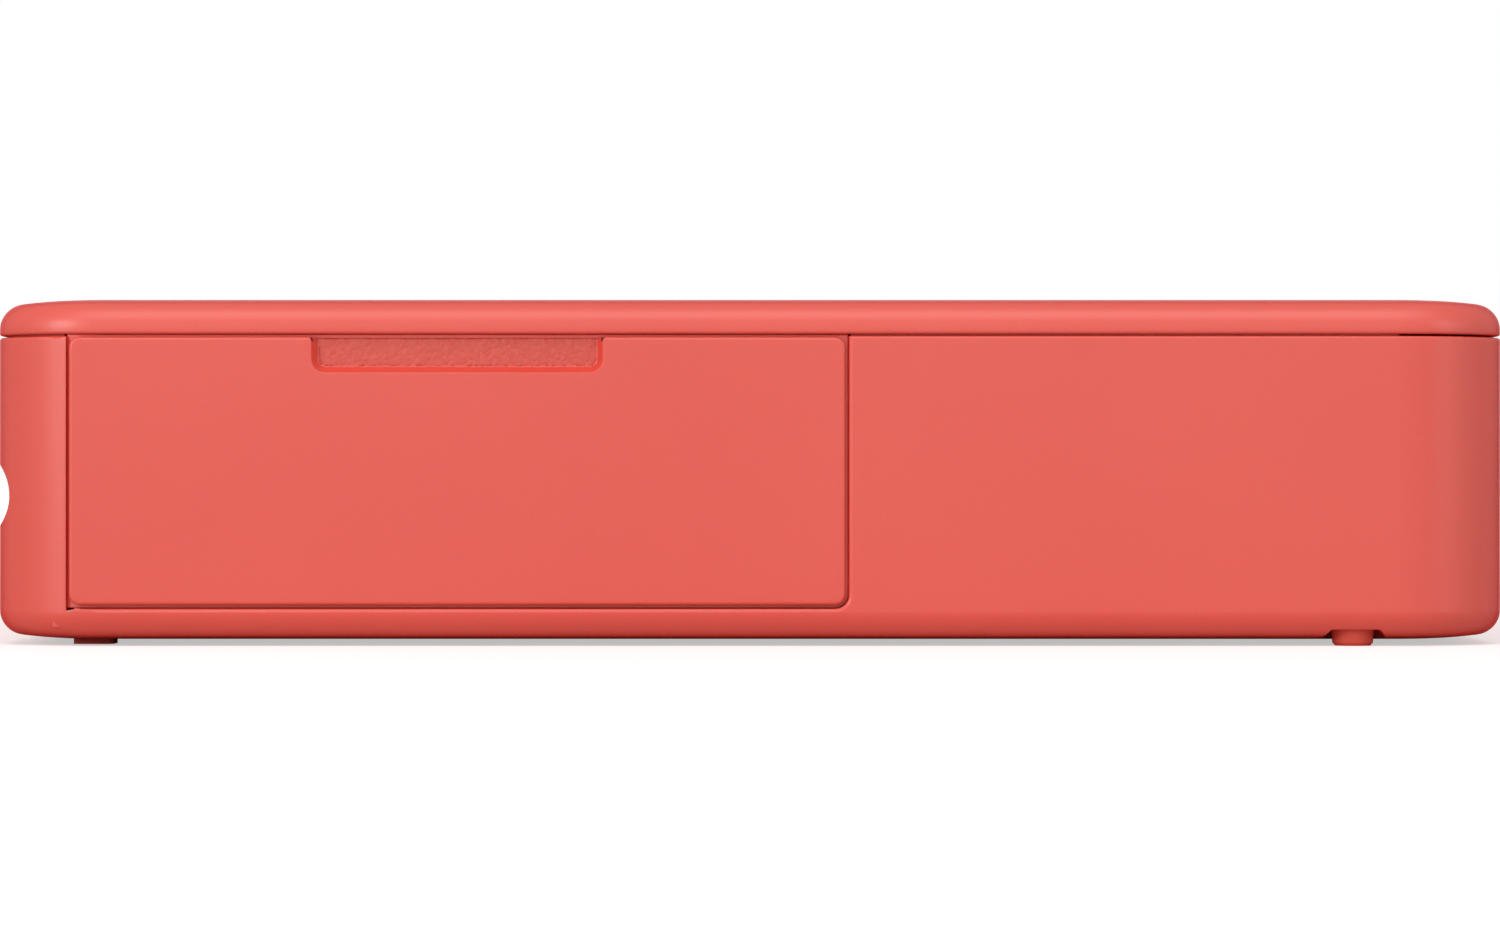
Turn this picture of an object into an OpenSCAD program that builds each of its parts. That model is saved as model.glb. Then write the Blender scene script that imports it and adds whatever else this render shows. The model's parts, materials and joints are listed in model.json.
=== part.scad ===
// Compact square-format photo printer, a dye-sublimation machine that lies flat on a desk.
// X runs from the paper slot end to the hinge end, Y from the cassette door to the controls, Z up.
// The origin is on the desk, under the middle of the case. Sizes are in millimetres.

/* [Case] */
// Length of the case, from the paper slot end to the hinge end
case_l = 145.8; // [144:0.2:160]
// Width of the case, from the cassette door side to the control side
case_w = 102.2; // [101:0.2:114]
// Height of the lower case, from its underside to the parting line
case_h = 29.1; // [28.9:0.1:33]
// Thickness of the upright walls
wall = 1.8; // [1.6:0.1:2]
// Thickness of the case floor
floor_t = 1.6; // [1.4:0.1:1.8]
// Radius of the four upright corners, seen from above
corner_r = 11; // [10:0.5:12]
// Radius of the lower outer edge
lower_edge_r = 2.4; // [1.8:0.1:2.8]
// How far the feet stand below the case
foot_h = 0.5; // [0.3:0.1:1.2]

/* [Top cover] */
// Height of the top cover, from its lower rim to its crown
cover_h = 3.45; // [3.3:0.05:4.5]
// Thickness of the cover's roof
roof_t = 1.6; // [1.2:0.1:1.7]
// Radius of the upper outer edge
upper_edge_r = 2.5; // [2.2:0.1:2.7]
// Gap along the parting line
part_gap = 0.2; // [0.15:0.05:0.3]
// Radius of the hinge pins
hinge_pin_r = 0.5; // [0.4:0.05:0.55]
// Distance of each cover hinge from the centre line
hinge_y = 26; // [18:1:32]

/* [Cassette door] */
// Length of the cassette door
door_l = 74; // [70:0.2:76]
// Distance of the door from the paper slot end
door_inset = 8; // [7.5:0.1:9]
// Height of the door's lower edge above the underside
door_sill = 3.45; // [3.3:0.05:3.9]
// Thickness of the door
door_t = 1.8; // [1.6:0.1:2]
// Gap round the door
door_gap = 0.3; // [0.2:0.05:0.4]
// Radius of the door's lower corners
door_corner_r = 1; // [0.6:0.1:1.6]
// Length of the finger recess in the door's upper edge
recess_l = 27.8; // [20:0.2:36]
// Height of the finger recess
recess_h = 3.4; // [2.6:0.1:4]
// Depth of the finger recess
recess_d = 0.9; // [0.5:0.1:1]

/* [Paper path] */
// Room beside the frame on each side, for the gear train and the cassette's grip
gear_bay = 11.6; // [11.4:0.1:12.6]
// Gap between the paper slot's ends and the frame's walls
slot_side = 1.5; // [1:0.1:2.5]
// Height of the paper slot
slot_h = 2.2; // [1.6:0.1:2.6]
// Height of the paper path above the underside
path_h = 13.9; // [13.7:0.1:14.3]
// Radius of the groove that leads into the slot
groove_r = 3.9; // [3.6:0.1:4.6]
// Depth of that groove
groove_d = 1.6; // [1.2:0.05:1.7]
// Distance of the paper well from the hinge end
well_end = 7; // [6:0.1:8]
// Gap between the paper well's sides and the frame's walls
well_side = 3; // [2.4:0.1:3.4]
// Height that the paper well leaves for the stack
well_h = 4.7; // [4.5:0.1:5]
// Thickness of a sheet in the nips
sheet_t = 0.3; // [0.2:0.05:0.4]

/* [Rollers and gears] */
// Radius of the capstan and pinch rollers
capstan_r = 3; // [2.6:0.1:3.1]
// Radius of the platen roller
platen_r = 4.5; // [4:0.1:4.6]
// Radius of the pick roller
pick_r = 3.8; // [3.4:0.1:4]
// Radius of the roller journals
journal_r = 1.5; // [1.2:0.1:1.6]
// Radial clearance of a turning journal in its bearing
running_gap = 0.05; // [0.03:0.01:0.08]
// Gear module
gear_m = 0.5; // [0.5:0.01:0.51]
// Width of the gear faces
gear_w = 3; // [2:0.2:3.4]

/* [Ribbon cassette] */
// Outer radius of the spool tubes
tube_r = 4.9; // [4.6:0.1:5]
// Distance from the print line to the supply spool
supply_offset = 23; // [22:0.2:24]
// Radius of the wound ribbon
roll_r = 3.6; // [3:0.1:3.9]

/* [Controls] */
// Distance from the pick motor's pinion to the first status light
light_run = 3.2; // [2.6:0.2:4]
// Distance from the last status light to the middle of the power button
light_to_button = 10; // [8.5:0.5:11]
// Distance from the middle of the power button to that of the charging socket
button_to_socket = 18; // [16:0.5:19]
// Length of the power button
button_l = 9; // [7:0.5:12]
// Height of the power button
button_h = 3.6; // [3:0.2:4.2]
// How far the power button travels
button_travel = 0.6; // [0.3:0.1:0.8]
// Number of ventilation slots in the hinge end
vent_count = 13; // [7:2:15]

/* [Hidden] */
$fn = 72;
eps = 0.01;

coral = "#E7675A";
charcoal = "#2B2C30";
graphite = "#3D3F45";
steel = "#B9BCC2";
rubber = "#26262A";
brass = "#C9A85C";
white = "#E8E6E0";

// Levels
z_under = foot_h;                      // underside of the case
z_floor = z_under + floor_t;           // inside of the floor
z_part = z_under + case_h;             // top of the case walls
z_rim = z_part + part_gap;             // lower rim of the cover
z_top = z_rim + cover_h;               // crown of the cover
z_path = z_under + path_h;             // paper path
x_slot = -case_l / 2;                  // outer face of the slot end
x_hinge_end = case_l / 2;              // outer face of the hinge end
y_door = -case_w / 2;                  // outer face of the door side
y_ctrl = case_w / 2;                   // outer face of the control side
y_inner = y_ctrl - wall;               // inner face of the control side

// Edges: a soft shoulder runs into the edge radius
shoulder_w = 8;
shoulder_r = 45;
lip_r = 0.25;                          // radius on both sides of the parting line

// Cover hinge
hinge_in = 1.3;                        // hinge axis, in from the hinge end
hinge_up = 1.3;                        // hinge axis, up from the cover's rim
x_hinge = x_hinge_end - hinge_in;
z_hinge = z_rim + hinge_up;
ear_r = hinge_pin_r + 0.5;
ear_w = 6;
ear_gap = 0.2;
lug_w = 4.5;
hinge_pin_l = ear_w + 2 * ear_gap + 2 * lug_w - 1.4;
saddle_r = norm([hinge_in, hinge_up]) + 0.12;

// Cassette door
door_x0 = x_slot + door_inset;
door_x1 = door_x0 + door_l;
door_xc = (door_x0 + door_x1) / 2;
door_z0 = z_under + door_sill;
door_z1 = z_rim - door_gap;
door_axis_in = 2;                      // door axis, in from the door's outer face
door_axis_up = 2;                      // door axis, up from its lower edge
y_door_axis = y_door + door_axis_in;
z_door_axis = door_z0 + door_axis_up;
door_pin_r = 0.5;
knuckle_r = 1.35;
knuckle_l = 5;
jamb_lug_l = 3;
door_swing_r = norm([door_axis_in, door_axis_up]) + 0.1;   // what its lower edge sweeps
pin_skin = 0.35;                       // wall left outside the pin in the round corner
pin_depth = door_axis_in - door_pin_r - pin_skin;
door_pin_x0 = x_slot + corner_r - sqrt(pow(corner_r, 2) - pow(corner_r - pin_depth, 2));
door_pin_x1 = door_x1 + door_gap + jamb_lug_l - 0.5;

// Inner frame
frame_w = case_w - 2 * gear_bay;       // between the frame's side walls
frame_t = 1.2;
frame_x0 = x_slot + wall + 2.6;
frame_x1 = x_hinge_end - 11;           // far end of the frame's side walls
deck_t = 1;
deck_gap = 0.3;
z_deck = z_part - 0.3;                 // top of the inner deck
z_well = z_deck - well_h;              // floor of the paper well, upper side
well_floor_t = 1;
well_wall = 1.2;
x_print = door_xc;                     // the line that the thermal head prints on
x_exit = x_slot + 10.9;                // capstan and pinch rollers
x_well0 = x_print + 7.8;
x_well1 = x_hinge_end - well_end;
well_w = frame_w - 2 * well_side;
slot_w = frame_w - 2 * slot_side;
base_x1 = x_print + 39;                // far end of the frame's base
base_t = 1;
x_pick = x_well0 + 12;
z_capstan = z_path - sheet_t / 2 - capstan_r;
z_pinch = z_path + sheet_t / 2 + capstan_r;
z_platen = z_path + sheet_t / 2 + platen_r;
z_pick = z_well + 0.4 - pick_r;
roller_w = frame_w - 3;                // rubber or gritted length of the wide rollers
bearing_r = journal_r + 1;

// Gear train, all in one plane outside the frame's control side wall
y_frame = frame_w / 2 + frame_t;
y_gear0 = y_frame + 0.8;
n_pinion = 10;
n_idler = 14;
n_capstan = 24;
n_takeup = 22;
n_pick = 22;
n_pick_pinion = 10;
pressure_angle = 25;
tooth_play = 0.08;
motor_r = 4;
motor_l = 15;
x_motor = x_exit + 4;
z_motor = z_pinch + capstan_r + motor_r - 0.8;
takeup_drop = 2.5;

function pitch_r(n) = gear_m * n / 2;
function centres(a, b) = pitch_r(a) + pitch_r(b);
x_takeup = x_exit + sqrt(pow(centres(n_capstan, n_takeup), 2) - pow(takeup_drop, 2));
z_spool = z_capstan - takeup_drop;
x_supply = x_print + supply_offset;

// The point at distance ra from a and rb from b, on the right of the line from a to b
function meeting(a, b, ra, rb) =
    let (d = norm(b - a),
         along = (ra * ra - rb * rb + d * d) / (2 * d),
         aside = sqrt(ra * ra - along * along),
         u = (b - a) / d)
    a + along * u + aside * [-u[1], u[0]];

capstan_c = [x_exit, z_capstan];
motor_c = [x_motor, z_motor];
idler_c = meeting(motor_c, capstan_c, centres(n_pinion, n_idler), centres(n_idler, n_capstan));
takeup_c = [x_takeup, z_spool];
supply_c = [x_supply, z_spool];
pinch_c = [x_exit, z_pinch];
platen_c = [x_print, z_platen];
pick_c = [x_pick, z_pick];
pick_motor_c = pick_c + centres(n_pick, n_pick_pinion) * [cos(-10), sin(-10)];
roller_centres = [capstan_c, pinch_c, platen_c, pick_c];

function bearing_angle(a, b) = atan2(b[1] - a[1], b[0] - a[0]);
// The turn of gear b that puts a gap of it on the tooth of gear a, with the line of centres at phi
function mesh_turn(turn_a, na, nb, phi) = phi + 180 + 360 / nb * (0.5 - (turn_a - phi) * na / 360);
turn_capstan = 0;
turn_takeup = mesh_turn(turn_capstan, n_capstan, n_takeup, bearing_angle(capstan_c, takeup_c));
turn_idler = mesh_turn(turn_capstan, n_capstan, n_idler, bearing_angle(capstan_c, idler_c));
turn_pinion = mesh_turn(turn_idler, n_idler, n_pinion, bearing_angle(idler_c, motor_c));
turn_pick = 0;
turn_pick_pinion = mesh_turn(turn_pick, n_pick, n_pick_pinion, bearing_angle(pick_c, pick_motor_c));

// Thermal head
head_w = frame_w - 7;
head_pivot = [x_print + 15, z_floor + 3.6];
head_top = z_path - 2.5;               // the head rests lowered, clear of the ribbon
z_film = z_path - 0.45;

// Cassette
cassette_y0 = y_door + 4.6;
cassette_y1 = frame_w / 2 - 0.7;
tube_t = 0.7;
film_t = 0.08;

// Board, battery and sockets
board_t = 1.2;
z_board = z_path + 3.6;
z_control = z_board + board_t + 1.63;  // middle of the socket and button
x_light0 = pick_motor_c[0] + pitch_r(n_pick_pinion) + gear_m + light_run;
socket_l = 9;
socket_h = 3.26;
light_pitch = 4.5;
vent_pitch = 4.4;
vent_w = 1.4;
vent_h = 12;
light_r = 0.7;
light_count = 3;
x_button = x_light0 + (light_count - 1) * light_pitch + light_to_button;
x_socket = x_button + button_to_socket;

// ---- Shared shapes -------------------------------------------------------

// What is cut off an edge at the origin, with the material at x > 0 and y < 0:
// an edge of radius r, and a shoulder of radius s over shoulder_w if s is not 0
module round_over(r, s) {
    drop = s > 0 ? s - sqrt(pow(s - r, 2) - pow(shoulder_w - r, 2)) : r;
    reach = s > 0 ? r - r * (shoulder_w - r) / (s - r) : r;
    if (s > 0)
        difference() {
            translate([-1, -2]) square([shoulder_w + 1, 3]);
            translate([shoulder_w, -s]) circle(s, $fn = 240);
        }
    difference() {
        translate([-1, -drop]) square([reach + 1, drop + 1]);
        translate([r, -drop]) circle(r);
    }
}

// Section of a moulding's edge: x runs in from the outer face, y up from the lower side
module edge_band(depth, h, low, up) difference() {
    square([depth, h]);
    mirror([0, 1]) round_over(low[0], low[1]);
    translate([0, h]) round_over(up[0], up[1]);
}

// A slab of l by w with upright corners of radius r; low and up are [edge radius, shoulder radius]
module slab(l, w, r, h, low, up) {
    for (sx = [-1, 1], sy = [-1, 1])
        translate([sx * (l / 2 - r), sy * (w / 2 - r), 0])
            rotate_extrude() translate([r, 0]) mirror([1, 0]) edge_band(r, h, low, up);
    rotate([90, 0, 90]) linear_extrude(l - 2 * r, center = true)
        for (m = [0, 1]) mirror([m, 0]) translate([-w / 2, 0]) edge_band(w / 2, h, low, up);
    rotate([90, 0, 0]) linear_extrude(w - 2 * r, center = true)
        for (m = [0, 1]) mirror([m, 0]) translate([-l / 2, 0]) edge_band(l / 2, h, low, up);
}

module round_rect(l, w, r) {
    square([l - 2 * r, w], center = true);
    square([l, w - 2 * r], center = true);
    for (sx = [-1, 1], sy = [-1, 1]) translate([sx * (l / 2 - r), sy * (w / 2 - r)]) circle(r);
}

// A round bar along Y from y0 to y1, at p = [x, z]
module bar_y(p, r, y0, y1) translate([p[0], y1, p[1]]) rotate([90, 0, 0]) cylinder(h = y1 - y0, r = r);

// A round bar along X from x0 to x1, at p = [y, z]
module bar_x(p, r, x0, x1) translate([x0, p[0], p[1]]) rotate([0, 90, 0]) cylinder(h = x1 - x0, r = r);

// An upright round bar at p = [x, y] from z0 to z1
module bar_z(p, r, z0, z1) translate([p[0], p[1], z0]) cylinder(h = z1 - z0, r = r);

// A flat profile round x and z, from out beyond the control side's outer face to depth below it
module on_ctrl(x, z, out, depth)
    translate([x, y_ctrl + out, z]) rotate([90, 0, 0]) linear_extrude(out + depth) children();

// A slot shape with round ends
module pill(l, h) round_rect(l, h, h / 2 - 0.05);

// A flat profile in X and Z, from y0 to y1
module plate_y(y0, y1) translate([0, y1, 0]) rotate([90, 0, 0]) linear_extrude(y1 - y0) children();

// A box given by its lowest and highest corners
module box(a, b) translate(a) cube(b - a);

function involute_lag(a) = (tan(a) - a * PI / 180) * 180 / PI;
function tooth_half(n, rho) =
    let (rb = pitch_r(n) * cos(pressure_angle))
    90 / n - tooth_play / 2 / pitch_r(n) * 180 / PI + involute_lag(pressure_angle)
        - (rho > rb ? involute_lag(acos(rb / rho)) : 0);

// Outline of a spur gear with short involute teeth, one tooth centred on +X
module gear_outline(n) {
    tip = pitch_r(n) + 0.8 * gear_m;
    root = pitch_r(n) - 1.1 * gear_m;
    start = max(root + 0.01, pitch_r(n) * cos(pressure_angle));
    steps = 3;
    levels = concat([root], [for (k = [0:steps]) start + (tip - start) * k / steps]);
    last = len(levels) - 1;
    polygon([for (i = [0:n - 1]) each concat(
        [for (k = [0:last]) let (a = 360 / n * i - tooth_half(n, levels[k])) levels[k] * [cos(a), sin(a)]],
        [for (k = [0:last]) let (a = 360 / n * i + tooth_half(n, levels[last - k]))
            levels[last - k] * [cos(a), sin(a)]])]);
}

// A gear at p = [x, z] in the gear plane, turned by turn, with a hub and a bore
module gear(p, n, turn, bore) translate([p[0], y_gear0 + gear_w, p[1]]) rotate([90, 0, 0])
    difference() {
        rotate(turn) linear_extrude(gear_w) gear_outline(n);
        translate([0, 0, -1]) cylinder(h = gear_w + 2, r = bore);
        if (n > 20)
            for (end = [-1, 1]) translate([0, 0, end > 0 ? gear_w - 0.6 : -1]) difference() {
                cylinder(h = 1.6, r = pitch_r(n) - 1.1 * gear_m - 0.8);
                cylinder(h = 1.6, r = bore + 0.9);
            }
    }

// ---- Casing --------------------------------------------------------------

// Feet: round tapered ones in flared pockets at the hinge end, flat pads at the slot end
pocket_mouth = 3.4;                    // half width of a rear pocket at the underside
pocket_top = 2.3;                      // and at its ceiling
pocket_d = 1.1;
rear_foot_r = 2.05;
rear_foot_at = [x_hinge_end - 15.1, y_ctrl - 3.6];
pad_size = [3.9, 4, 0.6];              // length, width and corner radius of the front pads
pad_seat = 0.6;
pad_play = 0.12;
pad_at = [x_slot + 9.4, y_ctrl - 9.6];

// Screws
screw_places = [for (at = [[x_slot + 9.4, 22], [base_x1 - 4.6, frame_w / 2 - 6.5]], s = [-1, 1])
    [at[0], s * at[1]]];
screw_head_r = 2.1;
screw_r = 1;
boss_r = 3.1;
boss_h = 1.6;
boss_top = z_floor + boss_h;
post_r = 2.6;                          // tall posts under the hinge end of the inner deck
post_at = [x_hinge_end - 7.3, y_ctrl - 7.3];

// Grip, sliding plate and latch of the cover release
release_l = 8;                         // length of the hole in the wall
release_h = 2.6;
release_travel = 2.4;
x_release = x_slot + 26;
z_release = z_part - 5.2;
grip_l = 4.8;
grip_h = 2.2;
grip_d = 0.8;                          // depth of the finger grip
slider_h = 4;
spring_end = 19.1;                     // spring stop, from the middle of the hole
hook_x = x_release + 2;
hook_w = 3;
hook_y = y_inner - 2.6;
hook_toe = 1.1;
hook_play = 0.08;                      // the catch is drawn just clear of the hook's toe

module rear_pocket(side) translate([rear_foot_at[0], side * rear_foot_at[1], z_under]) {
    translate([0, 0, -eps]) cylinder(h = pocket_d + eps, r1 = pocket_mouth, r2 = pocket_top);
    rotate([90, 0, side > 0 ? 180 : 0]) linear_extrude(pocket_mouth)
        polygon([[-pocket_mouth, -1], [pocket_mouth, -1], [pocket_mouth, 0], [pocket_top, pocket_d],
                 [-pocket_top, pocket_d], [-pocket_mouth, 0]]);
}

module pad_outline(play)
    round_rect(pad_size[0] + 2 * play, pad_size[1] + 2 * play, pad_size[2] + play);

// Relief in the case rim for the cover's hinge edge as it swings, tapered at the round corners
module hinge_saddle() {
    straight = y_ctrl - corner_r + 1.5;
    bar_y([x_hinge, z_hinge], saddle_r, -straight, straight);
    for (m = [0, 1]) mirror([0, m, 0]) translate([x_hinge, straight - eps, z_hinge]) rotate([-90, 0, 0])
        cylinder(h = 3, r1 = saddle_r, r2 = hinge_up + 0.1);
}

corner_skin = 0.3;                     // outer skin that keeps the opening's lower corners round
opening_edge_r = 0.4;                  // softened outer edge of the opening
stop_reach = 1.2;                      // how far the door's stops reach in behind it
stop_t = 0.8;
stop_play = 0.15;
slot_pad = 1.5;                        // how much thicker the end wall is behind the paper slot
bead_in = 0.8;                         // bead on the rim, in from the outer face
bead_t = 0.6;
bead_h = 0.7;
bead_play = 0.1;

// Bead that stands on the case's rim and closes the parting line; grow fits the cover's rebate to it
module rim_bead(grow, z0, z1) difference() {
    translate([0, 0, z0]) linear_extrude(z1 - z0) difference() {
        inset = bead_in - grow;
        round_rect(case_l - 2 * inset, case_w - 2 * inset, corner_r - inset);
        if (grow == 0) let (inner = bead_in + bead_t)
            round_rect(case_l - 2 * inner, case_w - 2 * inner, corner_r - inner);
    }
    translate([x_hinge_end - corner_r + grow, y_door, z0 - 1]) cube([corner_r, case_w, z1 - z0 + 2]);
    if (grow == 0) translate([door_x0 - door_gap - 0.2, y_door, z0 - 1])
        cube([door_l + 2 * door_gap + 0.4, bead_in + bead_t + 1, z1 - z0 + 2]);
}

module door_opening() {
    l = door_l + 2 * door_gap;
    r = door_corner_r + door_gap;
    translate([door_xc, y_door + wall + 1, 0]) rotate([90, 0, 0]) linear_extrude(wall + 2) {
        translate([-l / 2, door_z0 - door_gap + r]) square([l, case_h]);
        translate([-l / 2 + r, door_z0 - door_gap]) square([l - 2 * r, case_h]);
        for (s = [-1, 1]) translate([s * (l / 2 - r), door_z0 - door_gap + r]) circle(r);
    }
    // clearance for the door's lower edge as it swings inside the sill, short of the outer skin at the
    // round corners
    bar_x([y_door_axis, z_door_axis], door_swing_r, door_x0 - door_gap + r, door_x1 + door_gap - r);
    intersection() {
        bar_x([y_door_axis, z_door_axis], door_swing_r, door_x0 - door_gap, door_x1 + door_gap);
        translate([door_xc - l / 2, y_door + corner_skin, z_floor]) cube([l, 8, case_h]);
    }
    // softened outer edges: the sill, the jamb towards the hinge end, and the corner between them
    z_sill = door_z0 - door_gap;
    translate([door_xc, y_door + opening_edge_r, z_sill]) {
        rotate([90, 0, 90]) linear_extrude(l - 2 * r, center = true) mirror([1, 1]) edge_flare();
        translate([l / 2, 0, r]) linear_extrude(case_h) mirror([0, 1]) edge_flare();
        translate([l / 2 - r, 0, r]) rotate([90, 0, 0]) rotate_extrude() translate([r, 0]) edge_flare();
    }
}

// Section of what rounds an outer edge of the opening: x away from the opening, y out of the wall
module edge_flare() {
    difference() {
        translate([-eps, 0]) square([opening_edge_r + eps, opening_edge_r]);
        translate([opening_edge_r, 0]) circle(opening_edge_r);
    }
    translate([-eps, opening_edge_r]) square([opening_edge_r + eps, 1]);
}

module case_shell() difference() {
    translate([0, 0, z_under])
        slab(case_l, case_w, corner_r, case_h, [lower_edge_r, shoulder_r], [lip_r, 0]);
    translate([0, 0, z_floor]) linear_extrude(case_h)
        round_rect(case_l - 2 * wall, case_w - 2 * wall, corner_r - wall);
}

// What stands on the floor and on the inside of the walls
module case_fittings() {
    // lugs that carry the door's hinge pins
    for (x = [[door_pin_x0 + 0.2, door_x0 - door_gap], [door_x1 + door_gap, door_x1 + door_gap + jamb_lug_l]])
        box([x[0], y_door_axis - door_pin_r - 0.3, z_floor - 0.3],
            [x[1], y_door_axis + 1.2, z_door_axis + 1.4]);
    // rib on the floor that closes the gap under the door
    box([door_x0, y_door_axis + door_swing_r - 0.9, z_floor - 0.3],
        [door_x1, y_door_axis + door_swing_r - 0.1, z_spool - tube_r - 0.1]);
    // stops behind the door's upright edges
    for (m = [0, 1]) translate([door_xc, y_door, 0]) mirror([m, 0, 0]) {
        jamb = door_l / 2 + door_gap;
        y = door_t + stop_play;
        box([door_l / 2 - stop_reach, y, z_door_axis + 3], [jamb + 1.5, y + stop_t, z_deck_under - 0.3]);
        box([jamb, wall - 0.6, z_door_axis + 3], [jamb + 1.5, y + stop_t, z_deck_under - 0.3]);
    }
    // thicker end wall behind the paper slot and its groove
    box([x_slot + wall - 0.5, corner_r - y_ctrl - 3.5, z_path - 5],
        [x_slot + wall + slot_pad, y_ctrl - corner_r + 3.5, z_path + 5]);
    rim_bead(0, z_part - 0.3, z_part + bead_h);
    for (p = screw_places) bar_z(p, boss_r, z_floor - 0.3, boss_top);
    // rails and spring stop of the release slider
    for (m = [0, 1]) translate([x_release, y_inner, z_release]) mirror([0, 0, m]) {
        box([-8, -1.8, slider_h / 2 + 0.1], [10, 0.3, slider_h / 2 + 1]);
        box([-8, -1.8, slider_h / 2 - 0.6], [10, -1.2, slider_h / 2 + 1]);
    }
    translate([x_release + spring_end, y_inner - 2.8, z_release - 1.6]) cube([1.2, 3.1, 3.2]);
    // posts for the hinge end of the inner deck, each with a web to the wall
    for (m = [0, 1]) mirror([0, m, 0]) {
        bar_z(post_at, post_r, z_floor - 0.3, z_deck_under);
        box([post_at[0] - 0.6, post_at[1], z_floor + 1.5],
            [post_at[0] + 0.6, y_ctrl - 2.2, z_deck_under - 3]);
    }
}

module control_cuts() {
    on_ctrl(x_button, z_control, 1, wall + 1) pill(button_l + 0.5, button_h + 0.5);
    for (i = [0:light_count - 1])
        bar_y([x_light0 + i * light_pitch, z_control], light_r + 0.1, y_inner - 1, y_ctrl + 1);
    on_ctrl(x_socket, z_control, 1, wall + 1) pill(socket_l + 0.3, socket_h + 0.3);
    on_ctrl(x_socket, z_control, 1, 0.5) pill(socket_l + 2.4, socket_h + 1.8);
    on_ctrl(x_release, z_release, 1, wall + 1) round_rect(release_l, release_h, 0.6);
    on_ctrl(x_release, z_release, 1, grip_d + 0.1) round_rect(release_l + 3, release_h + 2.4, 1.8);
}

module lower_case() color(coral) {
    difference() {
        union() {
            case_shell();
            case_fittings();
        }
        door_opening();
        hinge_saddle();
        control_cuts();
        for (x = [[door_pin_x0 - 0.1, door_x0], [door_x1, door_pin_x1 + 0.1]])
            bar_x([y_door_axis, z_door_axis], door_pin_r + running_gap, x[0], x[1]);
        // paper slot, and the groove that leads into it
        bar_y([x_slot + groove_d - groove_r, z_path], groove_r, y_door - 1, y_ctrl + 1);
        translate([x_slot - 1, 0, z_path]) rotate([90, 0, 90])
            linear_extrude(wall + slot_pad + 2) pill(slot_w, slot_h);
        // ventilation slots
        for (i = [0:vent_count - 1])
            translate([x_hinge_end - wall - 1, (i - (vent_count - 1) / 2) * vent_pitch, z_under + 12])
                rotate([90, 0, 90]) linear_extrude(wall + 2) round_rect(vent_w, vent_h, vent_w / 2 - 0.05);
        // feet and screws
        for (side = [-1, 1]) {
            rear_pocket(side);
            translate([pad_at[0], side * pad_at[1], z_under - 1]) linear_extrude(1 + pad_seat)
                pad_outline(pad_play);
            bar_z([post_at[0], side * post_at[1]], screw_r, z_deck - 6.5, z_part + 1);
        }
        for (p = screw_places) {
            bar_z(p, screw_r + 0.2, z_under - 1, boss_top + 1);
            bar_z(p, screw_head_r + 0.25, z_under - 1, z_under + 1.5);
        }
    }
    // ears of the cover hinge
    for (s = [-1, 1]) difference() {
        plate_y(s * hinge_y - ear_w / 2, s * hinge_y + ear_w / 2) {
            translate([x_hinge, z_hinge]) circle(ear_r);
            translate([x_hinge - ear_r, z_part - 2.2]) square([ear_r * 2, z_hinge - z_part + 2.2]);
        }
        bar_y([x_hinge, z_hinge], hinge_pin_r + running_gap, s * hinge_y - ear_w, s * hinge_y + ear_w);
    }
}

module rubber_feet() color("#B23A30") for (side = [-1, 1]) {
    translate([rear_foot_at[0], side * rear_foot_at[1], 0]) {
        cylinder(h = 0.3, r1 = rear_foot_r - 0.35, r2 = rear_foot_r - 0.1);
        translate([0, 0, 0.3])
            cylinder(h = z_under + pocket_d - 0.3, r1 = rear_foot_r - 0.1, r2 = rear_foot_r);
    }
    translate([pad_at[0], side * pad_at[1], 0]) linear_extrude(z_under + pad_seat) pad_outline(0);
}

// A cross-head screw at p, its head from z0 to z1, its shaft ending at tip
module screw(p, head_r, r, z0, z1, tip) {
    up = z1 > z0 ? 1 : -1;
    difference() {
        union() {
            bar_z(p, head_r, min(z0, z1), max(z0, z1));
            bar_z(p, r, min(z0, tip), max(z0, tip));
        }
        for (a = [0, 90]) translate([p[0], p[1], z1 - up * 0.5]) rotate(a)
            translate([-head_r * 0.6, -0.22, min(0, up)]) cube([head_r * 1.2, 0.44, 1]);
    }
}

module case_screws() color(steel)
    for (p = screw_places) screw(p, screw_head_r, screw_r, z_under + 1.5, z_under + 0.5, boss_top + 2);

tongue_y = 24;                         // tongues that locate the cover's free end
tongue_w = 12;
grip_field = [case_l - 61.8, case_w - 38.2, 4];   // raised field: length, width, corner radius
grip_x = -4;
grip_seat = 0.3;
plate_axis = [x_well1 - 24, z_rim + 0.55];   // hinge of the pressure plate, in X and Z
plate_x0 = x_well0 + 4.4;
plate_l = plate_axis[0] - 1.6 - plate_x0;
plate_w = well_w - 19;
plate_t = 0.8;
plate_pin_r = 0.5;
plate_lug_y = plate_w / 2 - 3;

module cover_shell() difference() {
    translate([0, 0, z_rim]) slab(case_l, case_w, corner_r, cover_h, [lip_r, 0], [upper_edge_r, shoulder_r]);
    translate([0, 0, z_rim - 1]) linear_extrude(cover_h - roof_t + 1)
        round_rect(case_l - 2 * wall, case_w - 2 * wall, corner_r - wall);
    rim_bead(bead_play, z_rim - 1, z_part + bead_h + 0.15);
}

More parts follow.
